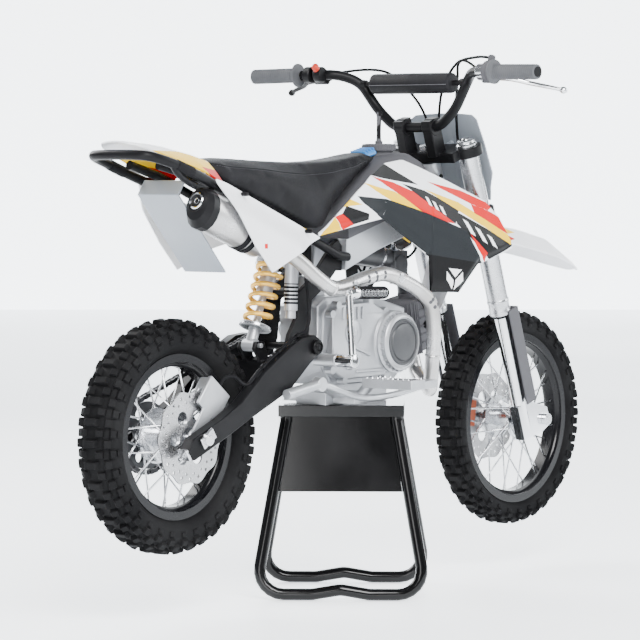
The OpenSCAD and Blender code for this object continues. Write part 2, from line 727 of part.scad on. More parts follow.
// Brake disc with a waved edge, a ring of drilled holes and open arms
module wave_disc(d) {
    n = 120;
    edge = [for (i = [0 : n - 1]) let(a = 360 * i / n, r = d / 2 - 3 + 3 * cos(10 * a)) [r * cos(a), r * sin(a)]];
    linear_extrude(disc_t) difference() {
        polygon(edge);
        circle(d = 44 + 2 * fit);
        for (a = [0 : 60 : 300]) rotate(a) translate([d * 0.235, 0]) circle(d = d * 0.15);
        for (a = [0 : 18 : 342]) rotate(a) translate([d / 2 - 13, 0]) circle(d = 7);
        for (a = [9 : 18 : 351]) rotate(a) translate([d / 2 - 23, 0]) circle(d = 6);
    }
}

module at_rear_wheel() {
    place() about_y(0, rear_axle_h) children();
}

module at_front_wheel() {
    place() about_y(front_axle_x, front_axle_h) children();
}

module rear_tyre() {
    color(gloss) at_rear_wheel() tyre(rear_tyre_d, rear_tyre_w, rear_rim_d, rear_rim_w);
}

module front_tyre() {
    color(gloss) at_front_wheel() tyre(front_tyre_d, front_tyre_w, front_rim_d, front_rim_w);
}

module rear_rim() {
    color(black) at_rear_wheel() rim(rear_rim_d, rear_rim_w);
}

module front_rim() {
    color(black) at_front_wheel() rim(front_rim_d, front_rim_w);
}

module rear_hub() {
    color(silver) at_rear_wheel() hub(rear_rim_d, 112);
}

module front_hub() {
    color(silver) at_front_wheel() hub(front_rim_d, 96);
}

module rear_disc() {
    color(silver) at_rear_wheel() translate([0, 0, disc_y]) wave_disc(rear_disc_d);
}

module front_disc() {
    color(silver) at_front_wheel() translate([0, 0, -disc_y - disc_t]) wave_disc(front_disc_d);
}

module rear_sprocket() {
    color(black) at_rear_wheel() translate([0, 0, -disc_y - 6]) linear_extrude(6) difference() {
        circle(d = sprocket_d - chain_h - 3);
        circle(d = 44);
        for (a = [0 : 60 : 300]) rotate(a) translate([49, 0]) circle(d = 22);
    }
}

// Outline of a belt round two circles; c2 is the smaller front one
function belt(c1, r1, c2, r2, n) = let(v = c2 - c1, l = norm(v), base = atan2(v[1], v[0]), b = acos((r1 - r2) / l))
    concat([for (j = [0 : n]) let(a = base + b + (360 - 2 * b) * j / n) c1 + r1 * [cos(a), sin(a)]],
        [for (j = [0 : n]) let(a = base - b + 2 * b * j / n) c2 + r2 * [cos(a), sin(a)]]);

// One closed loop of chain round both sprockets
module drive_chain() {
    c1 = [0, rear_axle_h];
    r1 = sprocket_d / 2;
    r2 = 28.5;
    y = disc_y + 3 - chain_w / 2;
    color(gloss) place() translate([0, y + chain_w, 0]) rotate([90, 0, 0]) linear_extrude(chain_w) difference() {
        polygon(belt(c1, r1 + chain_h / 2, drive, r2 + chain_h / 2, 36));
        polygon(belt(c1, r1 - chain_h / 2, drive, r2 - chain_h / 2, 36));
    }
}

// Wheel spindle with a spacer each side of the hub and a nut at each end
module spindle(x, z, left_in, right_in, outside) {
    pin_y(x, z, -outside - 12, outside + 12, axle_d);
    pin_y(x, z, outside + fit, outside + 11, 26);
    pin_y(x, z, -outside - 11, -outside - fit, 26);
    pin_y(x, z, spacer_y, left_in - fit, 24);
    pin_y(x, z, -right_in + fit, -spacer_y, 24);
}

module rear_axle() {
    color(silver) place() spindle(0, rear_axle_h, arm_in, arm_in - 8, arm_out);
}

module front_axle() {
    color(silver) place() spindle(front_axle_x, front_axle_h, foot_in, foot_in, foot_out);
}

// Caliper body that bridges the disc, drawn with X outward from the axle
module caliper(reach, disc_r, y_disc, outer) {
    lo = y_disc - 6;
    hi = y_disc + disc_t + 6;
    translate([disc_r - 34, -36, hi]) cube([reach, 72, outer - hi]);
    translate([disc_r - 30, -30, lo - 10]) cube([reach - 4, 60, 10]);
    translate([disc_r + 5, -30, lo - 0.5]) cube([reach - 39, 60, hi - lo + 1]);
}

module rear_caliper() {
    color(grey) at_rear_wheel() rotate([0, 0, 52]) difference() {
        union() {
            caliper(66, rear_disc_d / 2, disc_y, arm_in - 1);
            translate([0, -16, arm_in - 7]) cube([rear_disc_d / 2, 32, 6]);
            translate([0, 0, arm_in - 7]) cylinder(h = 6, d = 40);
        }
        cylinder(h = 200, d = axle_hole, center = true);
    }
}

hose_path = [[79, -68.5, 466], [90, -72, 480], [110, -80, 482], [132, -86, 466], [150, -88, 468], [172, -88, 486], [190, -88, 498],
    [261, -88, 538.5], [300, -88, 556.4], [330, -84, 564], [348, -80, 590], [346, -79, 630], [338, -78, 680],
    [330, -76, 730], [319, -61, 763]];

module rear_brake_hose() {
    color(gloss) place() tube_along(spline(hose_path, 3), 7, 8, [0.1, 1, 0]);
}

// ---------------------------------------------------------------- front end

bar_path = [[-16, 0, 52], [-16, 60, 52], [-6, 104, 88], [3, 146, 150], [-22, 180, 176], [-54, 222, 187]];
bar_straight_y = 222;
bar_mid = bar_path[0];
brace_z = 146;
tube_top = -4;
tube_low = -396;
leg_low = -690;
clamp_y = fork_y + fork_tube_d / 2 + 9;

// Upper and lower yokes on one stem, split round the fork tubes
module triple_clamps() {
    color(black) steered() difference() {
        union() {
            for (z = [[head_top + 3, 22], [head_low - 3 - 26, 26]]) {
                both_sides() translate([fork_offset, fork_y, z[0]]) cylinder(h = z[1], d = fork_tube_d + 18);
                translate([-24, -fork_y, z[0]]) cube([fork_offset + 38, 2 * fork_y, z[1]]);
            }
            translate([0, 0, head_low - 20]) cylinder(h = head_top - head_low + 44, d = head_in - 2);
            for (y = [-38, 38]) translate([bar_mid[0] - 18, y - 12, head_top + 20]) cube([36, 24, bar_mid[2] + 18 - head_top - 20]);
        }
        both_sides() translate([fork_offset, fork_y, -250]) cylinder(h = 400, d = fork_tube_d + 2 * fit);
        translate(bar_mid) rotate([90, 0, 0]) cylinder(h = 200, d = bar_d + 2 * fit, center = true);
    }
}

module fork_tubes() {
    color(silver) steered() both_sides() translate([fork_offset, fork_y, 0]) {
        translate([0, 0, tube_low]) cylinder(h = tube_top - tube_low, d = fork_tube_d);
        translate([0, 0, tube_top - 1]) cylinder(h = 9, d = fork_tube_d - 10);
    }
}

// Chromed sliding legs with cast feet that carry the axle ahead of them
module fork_legs() {
    shoe = [[fork_offset - 20, axle_lz + 62], [fork_offset + 20, axle_lz + 62], [axle_lx + 18, axle_lz + 22],
        [axle_lx + 20, axle_lz - 18], [axle_lx - 14, axle_lz - 24], [fork_offset - 20, leg_low]];
    color(silver) steered() both_sides() difference() {
        union() {
            translate([fork_offset, fork_y, axle_lz]) cylinder(h = tube_low - fit - axle_lz, d = fork_leg_d);
            slab(shoe, foot_in, foot_out);
        }
        pin_y(axle_lx, axle_lz, foot_in - 1, foot_out + 1, axle_hole);
    }
}

// Bent plastic shields in front of the sliding legs
module fork_guards() {
    front = fork_offset + 27;
    top = tube_low + 8;
    low = axle_lz + 62 + fit;
    color(black) steered() both_sides() {
        translate([front, fork_y - 24, low]) cube([4, 48, top - low]);
        translate([fork_offset - 4, fork_y + 24, low]) cube([front + 4 - fork_offset + 4, 4, top - low]);
        translate([fork_offset + fork_leg_d / 2 + fit, fork_y - 13, low])
            cube([front - fork_offset - fork_leg_d / 2, 26, 16]);
    }
}

// Braced handlebar with open ends
module handlebar() {
    rise = bent(bar_path, 30, 5);
    inner = [for (i = [len(rise) - 1 : -1 : 1]) [rise[i][0], -rise[i][1], rise[i][2]]];
    color(black) steered() {
        tube_along(concat(inner, rise), bar_d, 14, [1, 0, 0]);
        both_sides() difference() {
            rod(bar_path[5] - grip_dir(), grip_end(), bar_d);
            rod(grip_end() - 60 * grip_dir(), grip_end() + grip_dir(), bar_bore);
        }
    }
}

// Cross brace between the rising parts of the handlebar
module bar_brace() {
    color(black) steered() difference() {
        rod([1, -142, brace_z], [1, 142, brace_z], 12);
        both_sides() tube_along(bent(bar_path, 30, 5), bar_d + 2 * fit, 14, [1, 0, 0]);
    }
}

function grip_dir() = unit([-0.08, 1, 0.01]);
function grip_end() = bar_path[5] + grip_dir() * (bar_half_w - bar_straight_y) / grip_dir()[1];

module grips() {
    a = grip_end() - 122 * grip_dir();
    color(grey) steered() both_sides() difference() {
        union() {
            rod(a, grip_end() - 1.2 * grip_dir(), grip_d);
            rod(a, a + 5 * grip_dir(), 52);
        }
        rod(a - 5 * grip_dir(), grip_end() + grip_dir(), bar_d + 2 * fit);
    }
    b = grip_end() - 138 * grip_dir();
    color(black) steered() mirror([0, 1, 0]) difference() {
        rod(b, b + 15.5 * grip_dir(), 48);
        rod(b - 5 * grip_dir(), grip_end(), bar_d + 2 * fit);
    }
}

// Foam roll round the cross brace
module bar_pad() {
    color(gloss) steered() difference() {
        rod([1, -108, brace_z], [1, 108, brace_z], 44);
        rod([1, -120, brace_z], [1, 120, brace_z], 12 + 2 * fit);
    }
}

// Clamp, pivot and blade of a hand lever on the left side
module hand_lever(tip, body) {
    c = bar_path[5] + 12 * grip_dir();
    f = unit([0.8, 0, -0.6]);
    difference() {
        union() {
            rod(c - 9 * grip_dir(), c + 9 * grip_dir(), 36);
            rod(c, c + 36 * f, 18);
            rod(c + 37 * f - [0, 26, 0], c + 38 * f + [0, 16, 0], body);
            rod(c + 38 * f + [0, 8, 0], c + 52 * f + [0, 52, 0], 11);
            rod(c + 52 * f + [0, 51, 0], tip, 10);
        }
        rod(c - 30 * grip_dir(), c + 30 * grip_dir(), bar_d + 2 * fit);
    }
}

module brake_lever() {
    color(silver) steered() mirror([0, 1, 0]) hand_lever([18, 372, 122], 24);
}

module clutch_lever() {
    color(black) steered() hand_lever([14, 352, 126], 18);
}

// High front mudguard: an arched beak under the lower yoke
front_crown = [[-118, 590], [-90, 638], [-60, 700], [-30, 748], [0, 764], [60, 771], [130, 768], [190, 761],
    [300, 738], [400, 690], [448, 664]];
front_width = [[-118, 34], [-40, 44], [30, 52], [110, 60], [190, 64], [300, 56], [400, 34], [448, 10]];
front_fall = [[-118, 10], [-40, 16], [30, 26], [110, 38], [190, 44], [300, 40], [400, 16], [448, 3]];

module front_fender() {
    steps = [-118, -90, -75, -60, -45, -30, -15, 0, 30, 60, 95, 130, 160, 190, 245, 300, 350, 400, 430, 448];
    x0 = fender_tip_x - 448;
    color(white) place() translate([x0, 0, front_axle_h - 336])
        skin([for (x = steps)
            arch_ring(x, at(front_crown, x), at(front_width, x), at(front_fall, x), panel_t, 12)]);
    color(white) steered() translate([fork_offset - 4, 0, head_low - 3 - 26 - fit]) mirror([0, 0, 1])
        cylinder(h = 44, d = 30);
}

// Bowed blank plate ahead of the fork
module number_plate() {
    r = 260;
    half = [[76, 77], [91, 68], [104, 13], [112, -53], [94, -86], [84, -119]];
    outline = concat(half, [for (i = [5 : -1 : 0]) [-half[i][0], half[i][1]]]);
    front = fork_offset + 66;
    color(grey) steered() {
        intersection() {
            translate([front - r, 0, -150]) difference() {
                cylinder(h = 300, r = r, $fn = 96);
                translate([0, 0, -1]) cylinder(h = 302, r = r - panel_t, $fn = 96);
            }
            translate([0, 0, -30]) rotate([90, 0, 90]) linear_extrude(300) polygon(outline);
        }
        rod([44 + fit, 0, -20], [front - 2, 0, -20], 10);
    }
}

module front_caliper() {
    color("#a4573a") at_front_wheel() mirror([0, 0, 1]) rotate([0, 0, 172])
        caliper(62, front_disc_d / 2, disc_y, fork_y - fork_leg_d / 2 - fit);
}

front_hose_path = [[-25, -206, 165], [-2, -180, 178], [36, -110, 184], [66, -30, 120], [76, 10, 40], [78, 36, -60],
    [72, 50, -160], [52, 56, -220], [24, 57, -262], [0, 58, -310], [2, 60, -380], [14, 64, -450], [23, 66, -520],
    [25, 66, -594]];

module front_brake_hose() {
    color(gloss) steered() tube_along(spline(front_hose_path, 3), 6, 8, [1, 0.1, 0]);
}

bar_cable_paths = [
    [[-43, -254, 211.5], [-38, -236, 214], [-18, -196, 208], [8, -130, 190], [34, -96, 146], [58, -60, 80],
        [63, -44, 20], [64, -38, -20]],
    [[-25, 206, 165], [-2, 180, 176], [42, 100, 160], [62, 50, 90], [70, 34, 20], [66, 28, -20]]
];

// Throttle and clutch cables from the handlebar to the steering head
module bar_cables() {
    color(gloss) steered() for (p = bar_cable_paths) tube_along(spline(p, 4), 6, 8, [1, 0, 0.3]);
}

frame_cable_paths = [
    [[866, -32, 878], [840, -48, 880], [800, -64, 864], [764, -67, 826], [757, -64, 776], [754, -46, 724],
        [750, -26.5, 704]],
    [[866, 32, 878], [840, 48, 879], [806, 64, 858], [786, 71, 800], [740, 74, 700], [690, 60, 640], [664, 38, 611.2]]
];

// The same cables from the steering head back to the carburettor and engine
module frame_cables() {
    color(gloss) place() for (p = frame_cable_paths) tube_along(spline(p, 4), 6, 8, [0.3, 1, 0.2]);
}

// ---------------------------------------------------------------- output

stand_top();
stand_legs();
frame_spars();
frame_plates();
subframe();
grab_rail();
engine_case();
engine_cylinder();
clutch_cover();
carburettor();
header_pipe();
muffler();
swingarm();
rear_shock();
shock_spring();
seat();
fuel_tank();
right_shroud();
left_shroud();
right_side_panel();
left_side_panel();
rear_fender();
mudflap();
footpegs();
brake_pedal();
gear_lever();
kick_starter();
rear_caliper();
rear_brake_hose();
drive_chain();
rear_axle();
frame_cables();
triple_clamps();
fork_tubes();
fork_legs();
fork_guards();
front_axle();
handlebar();
bar_brace();
grips();
bar_pad();
brake_lever();
clutch_lever();
front_fender();
number_plate();
front_caliper();
front_brake_hose();
bar_cables();
rear_tyre();
rear_rim();
rear_hub();
rear_disc();
rear_sprocket();
front_tyre();
front_rim();
front_hub();
front_disc();
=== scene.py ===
"""Looks of a small off-road motorcycle that stands on a black paddock stand."""
import logging
import math
from dataclasses import dataclass, field
from enum import Enum

import bmesh
import bpy
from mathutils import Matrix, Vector
from mathutils.bvhtree import BVHTree


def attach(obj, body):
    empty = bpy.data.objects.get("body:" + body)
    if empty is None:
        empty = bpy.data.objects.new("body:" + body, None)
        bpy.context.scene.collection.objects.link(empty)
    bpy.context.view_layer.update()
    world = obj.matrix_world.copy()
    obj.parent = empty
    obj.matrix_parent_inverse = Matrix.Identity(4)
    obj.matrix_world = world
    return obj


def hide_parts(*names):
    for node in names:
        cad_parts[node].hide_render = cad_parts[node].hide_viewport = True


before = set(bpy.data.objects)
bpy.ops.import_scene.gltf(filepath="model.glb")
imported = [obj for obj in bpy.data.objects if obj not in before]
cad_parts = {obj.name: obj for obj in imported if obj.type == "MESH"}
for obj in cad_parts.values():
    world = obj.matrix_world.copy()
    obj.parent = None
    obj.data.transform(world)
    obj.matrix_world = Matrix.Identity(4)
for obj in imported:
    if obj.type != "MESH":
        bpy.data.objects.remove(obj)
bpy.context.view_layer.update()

logging.basicConfig(level=logging.INFO, format="%(message)s")
log = logging.getLogger("bike")

Point = tuple[float, float, float]
Colour = tuple[float, float, float]

RIGHT = Vector((0, -1, 0))
LEFT = Vector((0, 1, 0))
AHEAD = Vector((1, 0, 0))
UP = Vector((0, 0, 1))

MID_X = 591.5
HEAD = (852.0, 941.0)
RAKE = math.radians(19)
BAR_SIDE = [(-16, 0, 52), (-16, 60, 52), (-6, 104, 88), (3, 146, 150), (-22, 180, 176), (-54, 222, 187)]


class Body(str, Enum):
    """Moving bodies of the motorcycle."""

    FRAME = "frame"
    STEERING = "steering"
    REAR_WHEEL = "rear_wheel"
    FRONT_WHEEL = "front_wheel"


class Grain(Enum):
    """Kinds of fine surface texture."""

    SMOOTH = "smooth"
    CAST = "cast"
    BRUSHED = "brushed"
    VINYL = "vinyl"
    RUBBER = "rubber"


def mm(x: float, y: float, z: float) -> Vector:
    """Turns drawing millimetres into metres in the frame's coordinates."""
    return Vector(((x - MID_X) / 1000, y / 1000, z / 1000))


def steer(x: float, y: float, z: float) -> Vector:
    """Turns millimetres along the steering axis into metres in the frame's coordinates."""
    c, s = math.cos(RAKE), math.sin(RAKE)
    return mm(HEAD[0] + c * x - s * z, y, HEAD[1] + s * x + c * z)


def steer_way(x: float, y: float, z: float) -> Vector:
    """Turns a direction along the steering axis, in millimetres, into one in the frame's coordinates."""
    return steer(x, y, z) - steer(0, 0, 0)


def clamp01(value: float) -> float:
    """Limits a value to the range from 0 to 1."""
    return max(0.0, min(1.0, value))


def table_at(table: list[tuple[float, float]], x: float) -> float:
    """Reads a value from a table of (x, value) rows, straight between the rows.

    Args:
        table: rows sorted by x.
        x: where to read.

    Returns:
        The value at x, held at the ends.
    """
    if x <= table[0][0]:
        return table[0][1]
    for (xa, a), (xb, b) in zip(table, table[1:]):
        if x <= xb:
            return a + (b - a) * (x - xa) / (xb - xa)
    return table[-1][1]


def smooth_path(points: list[Vector], steps: int) -> list[Vector]:
    """Runs a smooth curve through all the points.

    Args:
        points: points that the curve passes.
        steps: pieces in each span.

    Returns:
        The points of the finer curve.
    """
    made = []
    last = len(points) - 1
    for i in range(last):
        a, b, c, d = points[max(i - 1, 0)], points[i], points[i + 1], points[min(i + 2, last)]
        for j in range(steps):
            t = j / steps
            made.append(0.5 * (2 * b + (c - a) * t + (2 * a - 5 * b + 4 * c - d) * t * t
                               + (3 * b - a - 3 * c + d) * t ** 3))
    made.append(points[-1])
    return made


# ---------------------------------------------------------------- finishes


class Nodes:
    """Short hand for building one material's node tree."""

    def __init__(self, name: str) -> None:
        """Starts an empty material with its output shader and object coordinates."""
        self.material = bpy.data.materials.new(name)
        self.material.use_nodes = True
        self.tree = self.material.node_tree
        self.shader = self.tree.nodes["Principled BSDF"]
        self.coords = self.add("ShaderNodeTexCoord").outputs["Object"]

    def add(self, kind: str, **values: object) -> bpy.types.Node:
        """Adds a node and sets its properties.

        Args:
            kind: Blender's name of the node type.
            values: properties of the node.

        Returns:
            The new node.
        """
        node = self.tree.nodes.new(kind)
        for key, value in values.items():
            setattr(node, key, value)
        return node

    def link(self, out: bpy.types.NodeSocket, into: bpy.types.NodeSocket) -> None:
        """Joins an output to an input."""
        self.tree.links.new(out, into)

    def math(self, kind: str, *terms: object) -> bpy.types.NodeSocket:
        """Adds a math node; each term is a socket or a number."""
        node = self.add("ShaderNodeMath", operation=kind)
        for i, term in enumerate(terms):
            if isinstance(term, (int, float)):
                node.inputs[i].default_value = term
            else:
                self.link(term, node.inputs[i])
        return node.outputs[0]

    def noise(self, scale: float, detail: float = 3.0, stretch: Point = (1, 1, 1)) -> bpy.types.NodeSocket:
        """Adds a noise pattern on object coordinates and returns its factor."""
        mapping = self.add("ShaderNodeMapping")
        mapping.inputs["Scale"].default_value = stretch
        self.link(self.coords, mapping.inputs["Vector"])
        node = self.add("ShaderNodeTexNoise")
        node.inputs["Scale"].default_value = scale
        node.inputs["Detail"].default_value = detail
        self.link(mapping.outputs[0], node.inputs["Vector"])
        return node.outputs["Fac"]

    def cells(self, scale: float) -> bpy.types.NodeSocket:
        """Adds a cell pattern on object coordinates and returns its distance."""
        node = self.add("ShaderNodeTexVoronoi")
        node.inputs["Scale"].default_value = scale
        self.link(self.coords, node.inputs["Vector"])
        return node.outputs["Distance"]

    def span(self, value: bpy.types.NodeSocket, low: float, high: float, a: float,
             b: float) -> bpy.types.NodeSocket:
        """Maps low..high onto a..b with limits."""
        node = self.add("ShaderNodeMapRange")
        for i, number in enumerate((low, high, a, b)):
            node.inputs[i + 1].default_value = number
        self.link(value, node.inputs[0])
        return node.outputs[0]

    def mix(self, factor: bpy.types.NodeSocket, a: object, b: object) -> bpy.types.NodeSocket:
        """Mixes two colours; each is a socket or a colour."""
        node = self.add("ShaderNodeMix", data_type="RGBA")
        self.link(factor, node.inputs[0])
        for value, socket in ((a, node.inputs[6]), (b, node.inputs[7])):
            if isinstance(value, tuple):
                socket.default_value = (*value, 1)
            else:
                self.link(value, socket)
        return node.outputs[2]

    def bump(self, height: bpy.types.NodeSocket, strength: float, depth: float) -> None:
        """Raises the surface by a pattern."""
        node = self.add("ShaderNodeBump")
        node.inputs["Strength"].default_value = strength
        node.inputs["Distance"].default_value = depth
        self.link(height, node.inputs["Height"])
        self.link(node.outputs[0], self.shader.inputs["Normal"])


@dataclass(frozen=True)
class Finish:
    """One finish of the motorcycle, with tone variation, grain and uneven gloss."""

    name: str
    tone: Colour
    shade: Colour
    rough: float = 0.4
    metal: float = 0.0
    grain: Grain = Grain.SMOOTH
    coat: float = 0.0
    patch: float = 9.0
    relief: float = 0.25
    gleam: float = 0.5
    slot: str = "dark_plastic"

    def nodes(self) -> Nodes:
        """Builds the node tree up to, but not including, any printed pattern."""
        n = Nodes(self.name)
        broad = n.noise(self.patch, 4.0)
        tone = n.mix(n.span(broad, 0.35, 0.65, 0.0, 1.0), self.tone, self.shade)
        fine = n.noise(900.0 if self.grain is Grain.SMOOTH else 420.0, 2.0)
        relief, depth = fine, 0.00008
        if self.grain is Grain.BRUSHED:
            relief, depth = n.noise(60.0, 3.0, (1.0, 14.0, 14.0)), 0.00012
            tone = n.mix(n.span(relief, 0.4, 0.6, 0.0, 0.35), tone, self.shade)
        elif self.grain is Grain.CAST:
            relief, depth = n.math("ADD", n.cells(520.0), fine), 0.00035
        elif self.grain is Grain.VINYL:
            relief, depth = n.math("ADD", n.cells(620.0), n.noise(1400.0, 2.0)), 0.0005
        elif self.grain is Grain.RUBBER:
            relief, depth = n.math("ADD", n.noise(260.0, 5.0), fine), 0.0004
        rough = n.span(n.math("ADD", broad, fine), 0.7, 1.3, max(0.03, self.rough - 0.07),
                       min(1.0, self.rough + 0.1))
        n.link(rough, n.shader.inputs["Roughness"])
        n.link(tone, n.shader.inputs["Base Color"])
        n.shader.inputs["Metallic"].default_value = self.metal
        n.shader.inputs["Coat Weight"].default_value = self.coat
        n.shader.inputs["Specular IOR Level"].default_value = self.gleam
        n.shader.inputs["Coat Roughness"].default_value = 0.08
        n.bump(relief, self.relief, depth)
        return n

    def material(self) -> bpy.types.Material:
        """Returns the finish as a material, made once."""
        found = bpy.data.materials.get(self.name)
        return found or self.nodes().material


@dataclass(frozen=True)
class Decals(Finish):
    """A moulded panel with flat printed shapes, laid on one after another."""

    shapes: tuple[tuple[Colour, tuple[tuple[float, float], ...]], ...] = ()

    def nodes(self) -> Nodes:
        """Adds each shape, a convex outline in drawing X and Z, over the plastic's own tone."""
        n = super().nodes()
        tone = n.shader.inputs["Base Color"].links[0].from_socket
        parts = n.add("ShaderNodeSeparateXYZ")
        n.link(n.coords, parts.inputs[0])
        scuff = n.span(n.noise(140.0, 5.0), 0.3, 0.7, -0.00025, 0.00025)
        for colour, outline in self.shapes:
            inside: object = 1.0
            pts = [((x - MID_X) / 1000, z / 1000) for x, z in outline]
            area = sum(a[0] * b[1] - b[0] * a[1] for a, b in zip(pts, pts[1:] + pts[:1]))
            if area < 0:
                pts.reverse()
            for a, b in zip(pts, pts[1:] + pts[:1]):
                ex, ez = b[0] - a[0], b[1] - a[1]
                size = math.hypot(ex, ez)
                nx, nz = -ez / size, ex / size
                reach = n.math("MULTIPLY_ADD", parts.outputs[0], nx, -(nx * a[0] + nz * a[1]))
                reach = n.math("MULTIPLY_ADD", parts.outputs[2], nz, reach)
                inside = n.math("MINIMUM", inside, reach)
            mask = n.math("GREATER_THAN", n.math("ADD", inside, scuff), 0.0)
            tone = n.mix(mask, tone, colour)
        n.link(tone, n.shader.inputs["Base Color"])
        return n


RED = (0.5, 0.0, 0.0)
YELLOW = (0.8, 0.5, 0.0)
BLACK = (0.003, 0.003, 0.0035)
CHARCOAL = (0.011, 0.013, 0.015)
PALE = (0.86, 0.87, 0.88)

GLOSS_BLACK = Finish("gloss_black_enamel", (0.002, 0.002, 0.0022), (0.004, 0.004, 0.0045), 0.14, 0.0,
                     coat=0.15, gleam=0.2,
                     slot="stand_black")
SATIN_BLACK = Finish("satin_black_paint", (0.004, 0.004, 0.0045), (0.008, 0.008, 0.009), 0.34, 0.0,
                     gleam=0.1, slot="black_metal")
SILVER_PAINT = Finish("silver_frame_paint", (0.5, 0.52, 0.55), (0.42, 0.44, 0.47), 0.32, 0.6, coat=0.2,
                      slot="frame_silver")
CAST_SILVER = Finish("cast_aluminium", (0.5, 0.51, 0.53), (0.36, 0.37, 0.39), 0.4, 0.8, Grain.CAST,
                     slot="cast_silver")
DARK_CAST = Finish("dark_cast_cover", (0.06, 0.062, 0.066), (0.035, 0.036, 0.04), 0.4, 0.4, Grain.CAST,
                   slot="clutch_grey")
BRUSHED = Finish("brushed_pipe_steel", (0.62, 0.62, 0.63), (0.42, 0.41, 0.4), 0.3, 0.92, Grain.BRUSHED,
                 slot="brushed", gleam=0.15)
MACHINED = Finish("machined_alloy", (0.66, 0.67, 0.69), (0.5, 0.51, 0.53), 0.22, 0.97, Grain.BRUSHED,
                  slot="hub_silver")
CHROME = Finish("bright_chrome", (0.82, 0.83, 0.85), (0.7, 0.71, 0.73), 0.08, 1.0, slot="chrome")
SPRING_ORANGE = Finish("spring_orange", (0.85, 0.22, 0.0), (0.75, 0.16, 0.0), 0.28, 0.0, coat=0.2,
                       gleam=0.35, slot="spring_orange")
VINYL = Finish("seat_vinyl", (0.007, 0.007, 0.008), (0.013, 0.013, 0.015), 0.5, 0.0, Grain.VINYL,
               relief=0.5, gleam=0.1,
               slot="seat_cover")
DARK_PLASTIC = Finish("dark_plastic", (0.008, 0.008, 0.009), (0.014, 0.014, 0.016), 0.42, 0.0, Grain.CAST,
                      gleam=0.1)
GREY_PLASTIC = Finish("pale_grey_plastic", (0.3, 0.33, 0.37), (0.24, 0.27, 0.31), 0.42, 0.0, patch=4.0,
                      slot="grey_plastic")
RUBBER = Finish("black_rubber", (0.005, 0.005, 0.006), (0.01, 0.01, 0.011), 0.6, 0.0, Grain.RUBBER,
                gleam=0.06,
                slot="rubber_black")
GREY_RUBBER = Finish("grey_grip_rubber", (0.09, 0.093, 0.1), (0.065, 0.068, 0.074), 0.6, 0.0, Grain.RUBBER,
                     gleam=0.15,
                     slot="rubber_grey")
TYRE = Finish("tyre_rubber", (0.005, 0.005, 0.0055), (0.011, 0.011, 0.0115), 0.66, 0.0, Grain.RUBBER,
              relief=0.5, gleam=0.05,
              slot="tyre_black")
RIM_BLACK = Finish("black_rim_anodise", (0.003, 0.003, 0.004), (0.006, 0.006, 0.007), 0.2, 0.0, coat=0.05,
                   gleam=0.2,
                   slot="rim_black")
DISC_STEEL = Finish("ground_disc_steel", (0.6, 0.6, 0.61), (0.42, 0.42, 0.43), 0.27, 0.95, Grain.BRUSHED,
                    slot="disc_steel")
CALIPER_RED = Finish("copper_caliper", (0.36, 0.08, 0.03), (0.28, 0.055, 0.02), 0.34, 0.4, Grain.CAST,
                     slot="caliper_red")
CHAIN_STEEL = Finish("oiled_chain", (0.06, 0.06, 0.065), (0.03, 0.03, 0.032), 0.35, 0.8, slot="chain_steel")
BRASS = Finish("brass_fitting", (0.55, 0.33, 0.1), (0.42, 0.24, 0.07), 0.3, 0.9, slot="hub_silver")
BLUE_PLASTIC = Finish("blue_vent_plastic", (0.05, 0.26, 0.6), (0.04, 0.2, 0.5), 0.35, 0.0)
RED_PLASTIC = Finish("red_switch_plastic", (0.5, 0.02, 0.0), (0.4, 0.015, 0.0), 0.35, 0.0)

SHROUD = Decals("printed_shroud", (0.84, 0.85, 0.87), (0.79, 0.8, 0.83), 0.3, patch=4.0, gleam=0.1,
                slot="white_plastic", shapes=(
    (YELLOW, ((500, 868), (600, 848), (690, 803), (625, 812))),
    (YELLOW, ((560, 852), (620, 842), (700, 797), (660, 803))),
    (RED, ((530, 882), (600, 868), (680, 840), (670, 826))),
    (RED, ((568, 866), (672, 842), (785, 778), (710, 789))),
    (BLACK, ((627, 865), (695, 850), (803, 809), (786, 778), (678, 836))),
    (BLACK, ((786, 807), (984, 728), (903, 699), (790, 778))),
    (YELLOW, ((695, 853), (803, 824), (984, 742), (973, 729))),
    (RED, ((712, 869), (816, 849), (914, 815), (896, 805), (843, 820))),
    (RED, ((843, 820), (896, 805), (964, 778), (984, 743), (852, 800))),
    (CHARCOAL, ((483, 840), (572, 833), (566, 790), (500, 826))),
    (CHARCOAL, ((572, 833), (695, 802), (730, 700), (566, 790))),
    (CHARCOAL, ((695, 802), (821, 763), (881, 690), (700, 704))),
    (BLACK, ((690, 716), (881, 691), (900, 600), (690, 600))),
    (RED, ((823, 763), (892, 713), (888, 690), (861, 722))),
    (BLACK, ((516, 885), (560, 920), (678, 862), (600, 872))),
    (PALE, ((812, 788), (828, 781), (850, 750), (834, 757))),
    (PALE, ((850, 771), (866, 764), (888, 733), (872, 740))),
    (PALE, ((888, 754), (904, 747), (922, 722), (906, 729))),
    (PALE, ((694, 838), (704, 834), (714, 816), (704, 820))),
    (PALE, ((716, 828), (726, 824), (736, 806), (726, 810))),
    (PALE, ((738, 818), (748, 814), (758, 796), (748, 800))),
    (PALE, ((770, 683), (812, 679), (791, 663))),
    (PALE, ((764, 677), (786, 657), (786, 637), (764, 659))),
    (PALE, ((815, 674), (817, 655), (792, 636), (792, 657))),
    (YELLOW, ((452, 836), (498, 822), (440, 818))),
    (BLACK, ((448, 820), (518, 803), (522, 790), (474, 781), (432, 800))),
    (RED, ((434, 804), (474, 781), (440, 770), (412, 798))),
    (YELLOW, ((412, 797), (437, 771), (366, 756)))))
